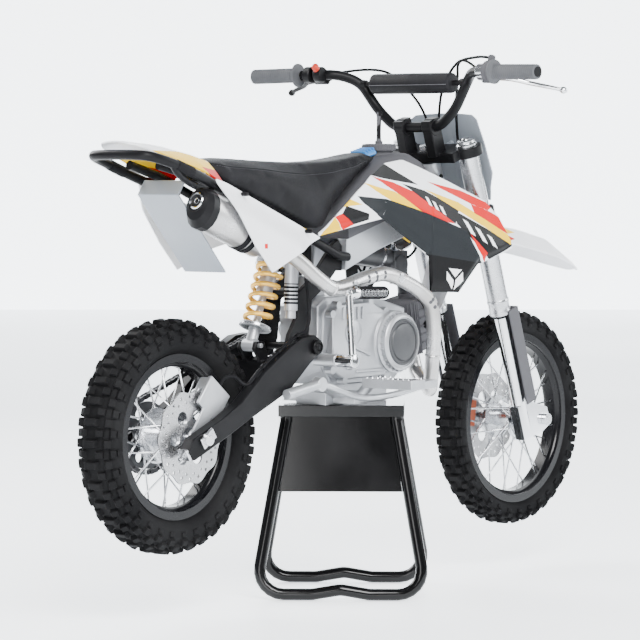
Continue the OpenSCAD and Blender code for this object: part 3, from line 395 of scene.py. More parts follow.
TAIL = Decals("printed_tail", (0.84, 0.85, 0.87), (0.79, 0.8, 0.83), 0.3, patch=4.0, gleam=0.1,
                slot="white_plastic", shapes=(
    (YELLOW, ((-120, 934), (-25, 932), (44, 928), (84, 890), (20, 880), (-30, 900))),
    (RED, ((14, 902), (80, 892), (104, 862), (60, 850)))))
SIDE = Decals("printed_side_panel", (0.84, 0.85, 0.87), (0.79, 0.8, 0.83), 0.3, patch=4.0, gleam=0.1,
                slot="white_plastic", shapes=(
    (RED, ((236, 812), (262, 800), (272, 792), (252, 797))),
    (YELLOW, ((270, 797), (330, 770), (320, 766), (274, 790))),
    (RED, ((148, 748), (158, 748), (158, 738), (148, 738)))))
BEAK = Decals("printed_beak", (0.84, 0.85, 0.87), (0.79, 0.8, 0.83), 0.3, patch=4.0, gleam=0.1,
                slot="white_plastic", shapes=(
    (YELLOW, ((985, 772), (1090, 768), (1130, 752), (1010, 744))),
    (RED, ((985, 752), (1080, 752), (1110, 738), (1000, 724)))))


# ---------------------------------------------------------------- shapes


def shade(piece: bpy.types.Object, angle: float = 35.0) -> bpy.types.Object:
    """Smooths the faces that meet at less than an angle, in degrees."""
    mesh = piece.data
    mesh.polygons.foreach_set("use_smooth", [True] * len(mesh.polygons))
    mesh.set_sharp_from_angle(angle=math.radians(angle))
    return piece


def new_piece(name: str, bm: bmesh.types.BMesh, angle: float = 35.0) -> bpy.types.Object:
    """Makes an object from a mesh under construction.

    Args:
        name: name of the piece.
        bm: the mesh, which is freed.
        angle: faces that meet at less than this are smooth, in degrees.

    Returns:
        The linked object, at the origin.
    """
    bmesh.ops.remove_doubles(bm, verts=bm.verts, dist=1e-6)
    bmesh.ops.recalc_face_normals(bm, faces=bm.faces)
    mesh = bpy.data.meshes.new(name)
    bm.to_mesh(mesh)
    bm.free()
    piece = bpy.data.objects.new(name, mesh)
    bpy.context.scene.collection.objects.link(piece)
    return shade(piece, angle)


def add_rings(bm: bmesh.types.BMesh, rings: list[list[Vector]], closed: bool = False) -> None:
    """Adds a skin through rings of equal length, capped at both ends unless it closes on itself.

    Args:
        bm: the mesh to add to.
        rings: rings of points.
        closed: whether the last ring joins the first.
    """
    rows = [[bm.verts.new(p) for p in ring] for ring in rings]
    count = len(rows[0])
    pairs = list(zip(rows, rows[1:])) + ([(rows[-1], rows[0])] if closed else [])
    for a, b in pairs:
        for j in range(count):
            k = (j + 1) % count
            bm.faces.new((a[j], a[k], b[k], b[j]))
    if not closed:
        bm.faces.new(rows[0])
        bm.faces.new(rows[-1])


def across(direction: Vector) -> tuple[Vector, Vector]:
    """Returns two directions square to the given one."""
    side = direction.cross(UP if abs(direction.z) < 0.9 else AHEAD).normalized()
    return side, direction.cross(side).normalized()


def add_tube(bm: bmesh.types.BMesh, path: list[Vector], radius: float | list[float], sides: int = 16,
             closed: bool = False) -> None:
    """Adds a round tube along a path, without twist.

    Args:
        bm: the mesh to add to.
        path: points of the centre line, in metres.
        radius: one radius, or one for each point, in metres.
        sides: facets round the tube.
        closed: whether the path is a loop.
    """
    last = len(path) - 1
    side = None
    rings = []
    for i, p in enumerate(path):
        ahead = path[(i + 1) % len(path)] if closed else path[min(i + 1, last)]
        back = path[i - 1] if closed else path[max(i - 1, 0)]
        way = (ahead - back).normalized()
        side = across(way)[0] if side is None else (side - way * side.dot(way)).normalized()
        up = way.cross(side)
        r = radius[i] if isinstance(radius, list) else radius
        rings.append([p + r * (math.cos(a) * side + math.sin(a) * up)
                      for a in (2 * math.pi * j / sides for j in range(sides))])
    add_rings(bm, rings, closed)


def add_turned(bm: bmesh.types.BMesh, start: Vector, way: Vector, profile: list[tuple[float, float]],
               sides: int = 32) -> None:
    """Adds a turned shape.

    Args:
        bm: the mesh to add to.
        start: point on the axis, in metres.
        way: direction of the axis.
        profile: (distance along the axis, radius) pairs in millimetres.
        sides: facets round the axis.
    """
    way = way.normalized()
    u, v = across(way)
    add_rings(bm, [[start + way * (h / 1000) + (max(r, 0.05) / 1000) * (math.cos(a) * u + math.sin(a) * v)
                    for a in (2 * math.pi * j / sides for j in range(sides))] for h, r in profile])


def add_block(bm: bmesh.types.BMesh, centre: Vector, size: Point, way: Vector = AHEAD,
              chamfer: float = 1.0) -> None:
    """Adds a chamfered block.

    Args:
        bm: the mesh to add to.
        centre: middle of the block, in metres.
        size: length along way, width and height in millimetres.
        way: direction of the length.
        chamfer: chamfer of the long edges in millimetres.
    """
    way = way.normalized()
    side = LEFT if abs(way.y) < 0.9 else AHEAD
    side = (side - way * side.dot(way)).normalized()
    up = way.cross(side)
    w, h, c = size[1] / 2, size[2] / 2, chamfer
    outline = [(w, h - c), (w - c, h), (c - w, h), (-w, h - c), (-w, c - h), (c - w, -h), (w - c, -h),
               (w, c - h)]
    rings = []
    for along, shrink in ((-size[0] / 2, c), (c - size[0] / 2, 0), (size[0] / 2 - c, 0), (size[0] / 2, c)):
        rings.append([centre + (way * along + side * (a - math.copysign(shrink, a))
                                + up * (b - math.copysign(shrink, b))) / 1000 for a, b in outline])
    add_rings(bm, rings)


def dress(piece: bpy.types.Object, finish: Finish, body: Body, *nodes: str) -> bpy.types.Object:
    """Gives a piece its finish and body, and hides the plain nodes that it stands for.

    Args:
        piece: the piece.
        finish: its finish.
        body: body that it moves with.
        nodes: frame nodes that it replaces.

    Returns:
        The piece.
    """
    piece.data.materials.clear()
    piece.data.materials.append(finish.material())
    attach(piece, body.value)
    if nodes:
        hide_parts(*nodes)
    log.info("%s: %d faces", piece.name, len(piece.data.polygons))
    return piece


def refine(node: str, finish: Finish, body: Body, edge: float = 0.7, angle: float = 35.0) -> bpy.types.Object:
    """Copies a frame node, merges its facets, rounds its edges and dresses it.

    Args:
        node: name of the node.
        finish: its finish.
        body: body that it moves with.
        edge: width of the rounding in millimetres; 0 leaves edges sharp.
        angle: faces that meet at less than this are smooth, in degrees.

    Returns:
        The new piece.
    """
    bm = bmesh.new()
    bm.from_mesh(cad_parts[node].data)
    bmesh.ops.remove_doubles(bm, verts=bm.verts, dist=1e-5)
    bmesh.ops.dissolve_limit(bm, angle_limit=math.radians(0.6), verts=bm.verts, edges=bm.edges)
    piece = new_piece(f"{node}_finished", bm, angle)
    if edge:
        bevel = piece.modifiers.new("edges", "BEVEL")
        bevel.width = edge / 1000
        bevel.segments = 2
        bevel.limit_method = "ANGLE"
        bevel.angle_limit = math.radians(max(angle, 38))
        bevel.use_clamp_overlap = False
        bevel.harden_normals = False
    return dress(piece, finish, body, node)


class Scatter:
    """Geometry Nodes tree that puts a template on points, turned by two directions."""

    def __init__(self) -> None:
        """Builds the tree once, with named inputs."""
        tree = bpy.data.node_groups.new("scatter_parts", "GeometryNodeTree")
        face = tree.interface
        face.new_socket("Geometry", in_out="INPUT", socket_type="NodeSocketGeometry")
        self.template = face.new_socket("Template", in_out="INPUT", socket_type="NodeSocketObject").identifier
        self.finish = face.new_socket("Finish", in_out="INPUT", socket_type="NodeSocketMaterial").identifier
        self.size = face.new_socket("Size", in_out="INPUT", socket_type="NodeSocketFloat").identifier
        face.new_socket("Geometry", in_out="OUTPUT", socket_type="NodeSocketGeometry")
        nodes, link = tree.nodes, tree.links.new
        into, out = nodes.new("NodeGroupInput"), nodes.new("NodeGroupOutput")
        info = nodes.new("GeometryNodeObjectInfo")
        link(into.outputs["Template"], info.inputs["Object"])
        turns = []
        for axis, attribute in (("Z", "up"), ("X", "ahead")):
            named = nodes.new("GeometryNodeInputNamedAttribute")
            named.data_type = "FLOAT_VECTOR"
            named.inputs["Name"].default_value = attribute
            turn = nodes.new("FunctionNodeAlignRotationToVector")
            turn.axis = axis
            turn.pivot_axis = "AUTO" if axis == "Z" else "Z"
            link(named.outputs["Attribute"], turn.inputs["Vector"])
            if turns:
                link(turns[-1].outputs[0], turn.inputs["Rotation"])
            turns.append(turn)
        place = nodes.new("GeometryNodeInstanceOnPoints")
        link(into.outputs["Geometry"], place.inputs["Points"])
        link(info.outputs["Geometry"], place.inputs["Instance"])
        link(turns[-1].outputs[0], place.inputs["Rotation"])
        link(into.outputs["Size"], place.inputs["Scale"])
        real, paint = nodes.new("GeometryNodeRealizeInstances"), nodes.new("GeometryNodeSetMaterial")
        link(place.outputs[0], real.inputs[0])
        link(real.outputs[0], paint.inputs["Geometry"])
        link(into.outputs["Finish"], paint.inputs["Material"])
        link(paint.outputs[0], out.inputs[0])
        self.tree = tree

    def make(self, name: str, template: bmesh.types.BMesh, spots: list[tuple[Vector, Vector, Vector]],
             finish: Finish,
             body: Body, size: float = 1.0, angle: float = 35.0) -> bpy.types.Object:
        """Places a template at many spots and makes one plain mesh of them.

        Args:
            name: name of the piece.
            template: mesh of one part round its own origin, in metres.
            spots: place, up direction and forward direction of each.
            finish: finish of the parts.
            body: body that they move with.
            size: scale of the template.
            angle: smoothing angle in degrees.

        Returns:
            The finished piece.
        """
        part = new_piece(f"{name}_template", template, angle)
        mesh = bpy.data.meshes.new(f"{name}_spots")
        mesh.from_pydata([s[0] for s in spots], [], [])
        for key, index in (("up", 1), ("ahead", 2)):
            data = mesh.attributes.new(key, "FLOAT_VECTOR", "POINT")
            data.data.foreach_set("vector", [c for s in spots for c in s[index]])
        holder = bpy.data.objects.new(f"{name}_spots", mesh)
        bpy.context.scene.collection.objects.link(holder)
        modifier = holder.modifiers.new("scatter", "NODES")
        modifier.node_group = self.tree
        modifier[self.template] = part
        modifier[self.finish] = finish.material()
        modifier[self.size] = size
        ready = holder.evaluated_get(bpy.context.evaluated_depsgraph_get())
        made = bpy.data.meshes.new_from_object(ready)
        made.name = name
        piece = bpy.data.objects.new(name, made)
        bpy.context.scene.collection.objects.link(piece)
        bpy.data.objects.remove(holder)
        bpy.data.objects.remove(part)
        return dress(shade(piece, angle), finish, body)


def bolt_head(radius: float, height: float) -> bmesh.types.BMesh:
    """Makes a hexagon bolt head with a washer, in millimetres, along Z."""
    bm = bmesh.new()
    add_turned(bm, Vector(), UP, [(-1, radius * 1.35), (height * 0.3, radius * 1.35),
                                  (height * 0.35, radius * 1.2)], 16)
    add_turned(bm, Vector(), UP, [(height * 0.3, radius), (height * 0.9, radius), (height, radius * 0.85)], 6)
    return bm


def socket_head(radius: float, height: float) -> bmesh.types.BMesh:
    """Makes a round cap screw with a socket, in millimetres, along Z."""
    bm = bmesh.new()
    add_turned(bm, Vector(), UP, [(-1, radius), (height * 0.85, radius), (height, radius * 0.88),
                                                 (height, radius * 0.5), (height * 0.45, radius * 0.45)], 14)
    return bm


def dome_head(radius: float, height: float) -> bmesh.types.BMesh:
    """Makes a rivet head, in millimetres, along Z."""
    bm = bmesh.new()
    add_turned(bm, Vector(), UP, [(-1, radius), (0.1, radius), (height * 0.6, radius * 0.75),
                                                 (height, radius * 0.3)], 12)
    return bm


scatter = Scatter()


# ---------------------------------------------------------------- wheels


@dataclass
class Wheel:
    """A spoked wheel with a knobbly tyre. Sizes are millimetres."""

    name: str
    body: Body
    x: float
    z: float
    tyre_d: float
    tyre_w: float
    rim_d: float
    rim_w: float
    disc_side: int
    knob: float = 9.0
    rows: int = 34

    def point(self, radius: float, angle: float, y: float) -> Vector:
        """Returns a point of the wheel from its radius, turn and side."""
        return mm(self.x + radius * math.cos(angle), y, self.z + radius * math.sin(angle))

    def side(self, t: float, proud: float = 0.0) -> tuple[float, float]:
        """Returns (radius, sideways) of the carcass at a turn t from the crown, in radians.

        Args:
            t: turn round the section.
            proud: height over the carcass.

        Returns:
            Radius from the axle and distance from the middle, in millimetres.
        """
        half = self.tyre_w / 2 - 5
        bead = self.rim_w / 2 - 3
        end = math.pi - math.asin((bead / half) ** 1.25)
        low, top = self.rim_d / 2 + 1, self.tyre_d / 2 - self.knob
        height = (top - low) / (1 + abs(math.cos(end)) ** 0.8)
        t = min(t, end)
        c = math.cos(t)
        return (top - height + (height + proud) * math.copysign(abs(c) ** 0.8, c),
                (half + proud) * math.sin(t) ** 0.8)

    def carcass(self) -> None:
        """Builds the tyre under its knobs, with bead lines on the side wall."""
        bm = bmesh.new()
        half = []
        for i in range(15):
            t = math.pi * 0.86 * i / 14
            r, y = self.side(t)
            half.append((r, y + (1.2 if i in (10, 12) else 0)))
        half += [(self.rim_d / 2 - 2, self.rim_w / 2 - 3.4), (self.rim_d / 2 - 12, self.rim_w / 2 - 3.4)]
        section = [(r, -y) for r, y in reversed(half[1:])] + half
        turns = 112
        add_rings(bm, [[self.point(r, 2 * math.pi * i / turns, y) for r, y in section]
                       for i in range(turns)], True)
        piece = new_piece(f"{self.name}_tyre_carcass", bm, 60)
        dress(piece, TYRE, self.body, f"{self.name}_tyre")

    def knob_mesh(self, length: float, width: float, height: float) -> bmesh.types.BMesh:
        """Makes one tapering knob with its top at Z = height."""
        bm = bmesh.new()
        rings = []
        for z, k in ((-2.5, 1.14), (height * 0.86, 1.0), (height, 0.86)):
            a, b = length / 2 * k / 1000, width / 2 * k / 1000
            rings.append([Vector((x, y, z / 1000)) for x, y in ((a, b), (-a, b), (-a, -b), (a, -b))])
        add_rings(bm, rings)
        return bm

    def knobs(self) -> None:
        """Places the rows of knobs: middle pairs, inner shoulders, outer shoulders and side lugs."""
        w = self.tyre_w / 2
        wide = w / 46
        plans = (("crown", 0.0, (13.5, 30 * wide), 0.0), ("crown_pair", 0.42, (13, 15 * wide), 0.5),
                 ("shoulder", 0.86, (16, 14 * wide), 0.0), ("edge", 1.2, (15, 12 * wide), 0.5),
                 ("lug", 1.58, (12, 9 * wide), 0.5))
        for label, t, (length, width), shift in plans:
            spots = []
            r, y = self.side(t)
            top_r, top_y = self.side(t, 6.0)
            for row in range(self.rows):
                angle = 2 * math.pi * (row + shift) / self.rows
                for s in ((1, -1) if t else (1,)):
                    foot = self.point(r, angle, s * y)
                    up = (self.point(top_r, angle, s * top_y) - foot).normalized()
                    spots.append((foot, up, Vector((-math.sin(angle), 0, math.cos(angle)))))
            tall = self.knob if t < 1.0 else self.knob * (0.8 if t < 1.5 else 0.35)
            scatter.make(f"{self.name}_tyre_{label}_knobs", self.knob_mesh(length, width, tall), spots, TYRE,
                         self.body, angle=30)

    def fittings(self) -> None:
        """Places spoke nipples, the valve and the disc bolts."""
        spots = []
        for i in range(16):
            for s in (-1, 1):
                base = 2 * math.pi * i / 16 + (math.pi / 16 if s > 0 else 0)
                turn = base + math.radians(24 if i % 2 == 0 else -24)
                y = s * (7 if i % 2 == 0 else 4)
                spots.append((self.point(self.rim_d / 2 - 26, turn, y),
                              Vector((-math.cos(turn), 0, -math.sin(turn))), LEFT))
        scatter.make(f"{self.name}_spoke_nipples", socket_head(2.9, 9.0), spots, MACHINED, self.body, 0.001)
        side = LEFT * self.disc_side
        bolts = []
        for i in range(6):
            a = 2 * math.pi * (i + 0.5) / 6
            bolts.append((self.point(31, a, self.disc_side * 58.5), side, AHEAD))
        scatter.make(f"{self.name}_disc_bolts", socket_head(4.2, 4.0), bolts, MACHINED, self.body, 0.001)
        bm = bmesh.new()
        a = math.radians(70)
        start = self.point(self.rim_d / 2 - 20, a, 3)
        add_turned(bm, start, Vector((-math.cos(a), 0, -math.sin(a))),
                   [(0, 3.4), (14, 3.2), (16, 4.2), (34, 4.2), (37, 2.5)], 12)
        dress(new_piece(f"{self.name}_valve", bm), RUBBER, self.body)

    def build(self) -> None:
        """Builds the whole wheel."""
        self.carcass()
        self.knobs()
        refine(f"{self.name}_rim", RIM_BLACK, self.body, 0)
        refine(f"{self.name}_hub", MACHINED, self.body, 0, 40)
        refine(f"{self.name}_disc", DISC_STEEL, self.body, 0.3)
        self.fittings()


# ---------------------------------------------------------------- stand


@dataclass
class PaddockStand:
    """Black steel stand under the engine."""

    x: float = 559.0
    turn: float = math.radians(-53)
    height: float = 403.0

    def spot(self, x: float, y: float, z: float) -> Vector:
        """Turns the stand's own millimetres into the frame's metres."""
        c, s = math.cos(self.turn), math.sin(self.turn)
        return mm(self.x + c * x - s * y, s * x + c * y, z)

    def build(self) -> None:
        """Builds the plate, legs, weld beads and feet."""
        refine("stand_top", GLOSS_BLACK, Body.FRAME, 1.2)
        refine("stand_legs", GLOSS_BLACK, Body.FRAME, 0, 60)
        bm = bmesh.new()
        for sx in (-1, 1):
            for sy in (-1, 1):
                add_turned(bm, self.spot(sx * 115.7, sy * 89, 378), UP,
                           [(0, 12.6), (2, 15.2), (5, 14.6), (6.5, 12.6)], 20)
        dress(new_piece("stand_weld_collars", bm), GLOSS_BLACK, Body.FRAME)


# ---------------------------------------------------------------- frame and swingarm


@dataclass
class Chassis:
    """Main frame, rails, swingarm and what is bolted to them."""

    axle_z: float = 365.0

    def bolts(self) -> None:
        """Places the visible frame and pivot bolts on both sides."""
        hexes, caps = [], []
        for s, way in ((-1, RIGHT), (1, LEFT)):
            hexes += [(mm(x, s * 46, z), way, AHEAD) for x,
                      z in ((450, 664), (392, 612), (336, 572), (486, 705))]
            hexes += [(mm(345, s * 109, 532), way, AHEAD)]
            caps += [(mm(x, s * 56, z), way, AHEAD) for x, z in ((528, 716), (560, 742), (820, 838))]
        scatter.make("frame_hex_bolts", bolt_head(7.0, 7.0), hexes, MACHINED, Body.FRAME, 0.001)
        scatter.make("frame_cap_screws", socket_head(5.0, 5.0), caps, MACHINED, Body.FRAME, 0.001)

    def adjusters(self) -> None:
        """Builds the chain adjuster blocks, their screws and plates."""
        bm = bmesh.new()
        way = Vector((1, 0, 0.62)).normalized()
        for s in (-1, 1):
            add_block(bm, mm(2, s * 103.5, 366), (42, 6, 24), way, 1.5)
            add_block(bm, mm(-50, s * 87, 336), (7, 24, 26), way, 1.5)
            add_turned(bm, mm(-52, s * 87, 336), -way, [(0, 7), (7, 7), (7.5, 4), (16, 4), (17, 3)], 12)
        dress(new_piece("chain_adjusters", bm), MACHINED, Body.FRAME)

    def chain(self) -> None:
        """Builds the drive chain from link plates and rollers along the belt line."""
        c1, r1, c2, r2 = Vector((0, 365)), 75.0, Vector((440, 560)), 28.5
        v = c2 - c1
        base, lean = math.atan2(v.y, v.x), math.acos((r1 - r2) / v.length)
        line = [c1 + r1 * Vector((math.cos(a), math.sin(a)))
                for a in (base + lean + (2 * math.pi - 2 * lean) * j / 60 for j in range(61))]
        line += [c2 + r2 * Vector((math.cos(a), math.sin(a)))
                 for a in (base - lean + 2 * lean * j / 40 for j in range(41))]
        line.append(line[0])
        total = sum((b - a).length for a, b in zip(line, line[1:]))
        count = 2 * round(total / 12.7 / 2)
        step, spots, walked, goal = total / count, [], 0.0, 0.0
        for a, b in zip(line, line[1:]):
            size = (b - a).length
            while size and goal <= walked + size and len(spots) < count:
                p = a + (b - a) * ((goal - walked) / size)
                d = (b - a).normalized()
                spots.append((mm(p.x, 57.5, p.y), LEFT, Vector((d.x, 0, d.y))))
                goal += step
            walked += size
        for label, half, group in (("outer", 6.2, spots[::2]), ("inner", 4.4, spots[1::2])):
            bm = bmesh.new()
            for s in (-1, 1):
                outline = []
                for k in range(16):
                    a = 2 * math.pi * k / 16
                    x = math.copysign(6.35, math.cos(a)) * min(1.0, abs(math.cos(a)) * 4) + 5.2 * math.cos(a)
                    outline.append((x, 5.2 * math.sin(a) * (1 - 0.22 * (1 - min(1.0,
                                                                                abs(math.cos(a)) * 2.2)))))
                add_rings(bm, [[Vector((x / 1000, y / 1000, h / 1000)) for x, y in outline]
                               for h in (s * half - 0.8, s * half + 0.8)])
            for s in (-1, 1):
                add_turned(bm, Vector((s * 0.00635, 0, -half / 1000)), UP, [(0, 3.8), (2 * half, 3.8)], 10)
            links = scatter.make(f"chain_{label}_links", bm, group, CHAIN_STEEL, Body.FRAME)
        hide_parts("drive_chain")

    def build(self) -> None:
        """Builds the chassis."""
        for node, finish, edge, angle in (
                ("frame_spars", SILVER_PAINT, 2.0, 35), ("frame_plates", SATIN_BLACK, 1.0, 35),
                ("subframe", SATIN_BLACK, 0, 50), ("swingarm", SATIN_BLACK, 2.2, 35),
                ("footpegs", CAST_SILVER, 0.9, 35), ("rear_axle", MACHINED, 0.6, 35),
                ("rear_caliper", CAST_SILVER, 2.5, 35), ("brake_pedal", CAST_SILVER, 0.8, 50),
                ("gear_lever", CAST_SILVER, 0.8, 50)):
            refine(node, finish, Body.FRAME, edge, angle)
        refine("rear_sprocket", DARK_CAST, Body.REAR_WHEEL, 0.4)
        self.bolts()
        self.adjusters()
        self.chain()
        bm = bmesh.new()
        path = [(79, -68.5, 466), (90, -72, 480), (110, -80, 482), (132, -86, 466), (150, -88, 468),
                (172, -88, 486),
                (190, -88, 498), (261, -88, 538.5), (300, -88, 556.4), (330, -84, 564), (348, -80, 590),
                (346, -79, 630), (338, -78, 680), (330, -76, 730), (319, -61, 763)]
        add_tube(bm, smooth_path([mm(*p) for p in path], 8), 0.0035, 10)
        dress(new_piece("rear_hose", bm, 60), RUBBER, Body.FRAME, "rear_brake_hose")
        bm = bmesh.new()
        for x, z in ((190, 498), (240, 527.5), (300, 556.4)):
            add_turned(bm, mm(x - 4, -88, z - 2.4), Vector((1, 0, 0.6)), [(0, 5.2), (9, 5.2)], 14)
        dress(new_piece("hose_clips", bm), SATIN_BLACK, Body.FRAME)
        bm = bmesh.new()
        for s in (-1, 1):
            for row in range(9):
                for k in (-1, 1):
                    x, y = 500 + k * 21.5, s * (130 + row * 13.4)
                    add_turned(bm, mm(x, y, 461), UP, [(0, 2.6), (4.5, 0.6)], 4)
        dress(new_piece("peg_teeth", bm), CAST_SILVER, Body.FRAME)


@dataclass
class Shock:
    """Rear damper with its spring."""

    low: Point = (256.0, 0.0, 536.0)
    top: Point = (340.0, 0.0, 742.0)
    coil_d: float = 62.0
    wire: float = 10.0

    def build(self) -> None:
        """Builds the spring, the collars and the bellows of the reservoir."""
        refine("rear_shock", CAST_SILVER, Body.FRAME, 0.8)
        a, b = mm(*self.low), mm(*self.top)
        way = (b - a).normalized()
        u = Vector((way.z, 0, -way.x))
        v = way.cross(u)
        turns, steps = 5.6, 28
        count = int(turns * steps)
        z0, z1 = 44.3 + self.wire / 2, 175.7 - self.wire / 2
        r = (self.coil_d - self.wire) / 2000
        path = []
        for i in range(count + 1):
            t = 2 * math.pi * i / steps
            path.append(a + way * ((z0 + (z1 - z0) * i / count) / 1000)
                        + r * (math.cos(t) * u + math.sin(t) * v))
        bm = bmesh.new()
        add_tube(bm, path, self.wire / 2000, 16)
        dress(new_piece("coil_spring", bm, 60), SPRING_ORANGE, Body.FRAME, "shock_spring")
        bm = bmesh.new()
        for h in (171, 178, 186, 194):
            add_turned(bm, a + way * (h / 1000), way, [(0, 20), (1, 33.5), (4, 33.5), (5, 20)], 40)
        add_turned(bm, a + way * 0.036, way, [(0, 24), (1.5, 34), (5, 34), (7, 26)], 40)
        dress(new_piece("spring_collars", bm), MACHINED, Body.FRAME)
        bm = bmesh.new()
        rings = [(4 * i, 15.2 if i % 2 else 13.2) for i in range(12)]
        add_turned(bm, mm(320.5, -54, 618), Vector((5, 0, 118)), rings, 24)
        dress(new_piece("reservoir_bellows", bm, 60), RUBBER, Body.FRAME)


# ---------------------------------------------------------------- engine and exhaust


@dataclass
class Engine:
    """Air-cooled engine with its round clutch housing and carburettor."""

    clutch: Point = (624.0, -92.0, 531.0)
    clutch_d: float = 122.0

    def clutch_cover(self) -> None:
        """Builds the clutch housing: a ribbed rim, a dark ring and a disc with two screws."""
        at = mm(*self.clutch)
        r = self.clutch_d / 2
        bm = bmesh.new()
        add_turned(bm, at, RIGHT, [(0, r + 5), (4, r + 5), (7, r), (17, r - 1), (21, r - 5), (22, r - 9),
                                   (19, r - 10),
                                   (19, r - 14), (20, r - 15)], 72)
        dress(new_piece("clutch_housing", bm), CAST_SILVER, Body.FRAME, "clutch_cover")
        bm = bmesh.new()
        add_turned(bm, at + RIGHT * 0.017, RIGHT, [(0, r - 12), (4, r - 12), (5.5, r - 14), (5.5, r - 17),
                                                   (3.4, r - 18),
                                                   (3.4, r - 21), (6.2, r - 23), (8, r - 30), (8.6, r - 45),
                                                   (8.8, 1)], 64)
        dress(new_piece("clutch_disc", bm), DARK_CAST, Body.FRAME)
        ring = []
        for i in range(30):
            a = 2 * math.pi * i / 30
            spot = at + RIGHT * 0.009 + Vector((math.cos(a), 0, math.sin(a))) * ((r + 0.5) / 1000)
            ring.append((spot, Vector((math.cos(a), 0, math.sin(a))), RIGHT))
        bm = bmesh.new()
        add_block(bm, Vector(), (10, 2.4, 3.0), AHEAD, 0.5)
        scatter.make("clutch_rim_ribs", bm, ring, CAST_SILVER, Body.FRAME)
        screws = [(at + RIGHT * 0.0245 + Vector((dx, 0, dz)) / 1000, RIGHT, AHEAD) for dx,
                  dz in ((-26, 20), (24, -22))]
        scatter.make("clutch_disc_screws", socket_head(4.2, 2.4), screws, MACHINED, Body.FRAME, 0.001)

    def fins(self) -> None:
        """Adds fine fins and head detail over the barrel."""
        tilt = math.radians(10)
        along = Vector((math.cos(tilt), 0, math.sin(tilt)))
        up = Vector((-math.sin(tilt), 0, math.cos(tilt)))
        bm = bmesh.new()
        start = mm(700.3, 0, 545)
        for i in range(9):
            at = start + along * ((10 + i * 6.4) / 1000)
            add_block(bm, at, (2.2, 108, 116), along, 0.8)
        add_block(bm, start + along * 0.093, (50, 70, 114), along, 5)
        for k in range(5):
            add_block(bm, start + along * 0.093 + up * ((k - 2) * 0.018), (54, 106, 3), along, 1.2)
        dress(new_piece("barrel_fins", bm), DARK_PLASTIC, Body.FRAME)
        spots = []
        for dx in (70, 115):
            for dz in (-44, 44):
                spots.append((start + along * (dx / 1000) + up * (dz / 1000) + RIGHT * 0.053, RIGHT, AHEAD))
        scatter.make("head_nuts", bolt_head(5.5, 6.5), spots, MACHINED, Body.FRAME, 0.001)
        bm = bmesh.new()
        plug = start + along * 0.086 + RIGHT * 0.05
        add_turned(bm, plug, RIGHT, [(0, 8), (4, 8), (5, 5), (14, 4)], 16)
        lead = [plug + RIGHT * 0.008, plug + RIGHT * 0.016 + UP * 0.004,
                plug + RIGHT * 0.012 + UP * 0.04 - AHEAD * 0.02,
                plug + UP * 0.11 - AHEAD * 0.06 - RIGHT * 0.01]
        add_tube(bm, smooth_path(lead, 8), 0.0035, 10)
        dress(new_piece("plug_cap_and_lead", bm, 50), RUBBER, Body.FRAME)

    def case_detail(self) -> None:
        """Adds the case's joint rim, ribs, bosses and screws."""
        right = [(420, 480), (420, 596), (440, 614), (548, 618), (600, 596), (690, 560), (694, 508),
                 (650, 462), (600, 458),
                 (460, 456)]
        spots = [(mm(x, -86.5, z), RIGHT, AHEAD) for x, z in right[:5] + right[8:]]
        spots += [(mm(x, -58.5, z), RIGHT, AHEAD) for x, z in ((688, 588), (690, 486), (664, 454))]
        scatter.make("case_screws", socket_head(5.2, 6.0), spots, MACHINED, Body.FRAME, 0.001)
        left = [(508, 478), (508, 584), (560, 596), (646, 592), (682, 556), (682, 494), (636, 466),
                (524, 466)]
        scatter.make("case_left_screws", socket_head(5.2, 6.0),
                     [(mm(x, 80, z), LEFT, AHEAD) for x, z in left], MACHINED,
                     Body.FRAME, 0.001)
        bm = bmesh.new()
        for x, z in right[:5] + right[8:]:
            add_turned(bm, mm(x, -70, z), RIGHT, [(0, 8.6), (16.2, 8.2)], 20)
        for i in range(5):
            add_block(bm, mm(452 + i * 16, -87.5, 596), (4, 5, 26), AHEAD, 1.2)
        add_turned(bm, mm(486, -84, 556), RIGHT, [(0, 27), (5, 26), (7, 23), (7, 8), (9, 7), (10, 5)], 36)
        add_turned(bm, mm(470, -84, 492), RIGHT, [(0, 15), (6, 15), (8, 12), (8, 5)], 6)
        add_block(bm, mm(560, -87, 474), (130, 6, 7), AHEAD, 1.5)
        add_block(bm, mm(515, -88, 516), (56, 5, 7), Vector((1, 0, -0.35)), 1.5)
        add_turned(bm, mm(393, -118, 503), RIGHT, [(0, 16), (3, 16)], 24)
        dress(new_piece("case_ribs_and_bosses", bm), CAST_SILVER, Body.FRAME)
        bm = bmesh.new()
        add_turned(bm, mm(618, 92, 530), LEFT, [(0, 52), (3, 50), (5, 44), (3.5, 43), (3.5, 12), (6, 10)], 48)
        dress(new_piece("generator_cover", bm), DARK_CAST, Body.FRAME)

    def carburettor(self) -> None:
        """Adds the float bowl, top cap, filter clamp and screws."""
        refine("carburettor", DARK_CAST, Body.FRAME, 1.2)
        bm = bmesh.new()
        add_turned(bm, mm(735, 0, 712), UP, [(0, 17), (8, 17), (9, 14), (14, 6), (22, 5)], 24)
        add_turned(bm, mm(735, 0, 672), -UP, [(0, 20), (14, 19), (17, 12), (20, 8), (24, 8)], 24)
        add_turned(bm, mm(668, 0, 714), AHEAD, [(0, 30), (7, 30)], 32)
        dress(new_piece("carburettor_cap_and_bowl", bm), MACHINED, Body.FRAME)
        spots = [(mm(714 + 42 * i, -22.5, z), RIGHT, AHEAD) for i in (0, 1) for z in (674, 714)]
        scatter.make("carburettor_screws", socket_head(2.8, 3.0), spots, BRASS, Body.FRAME, 0.001)

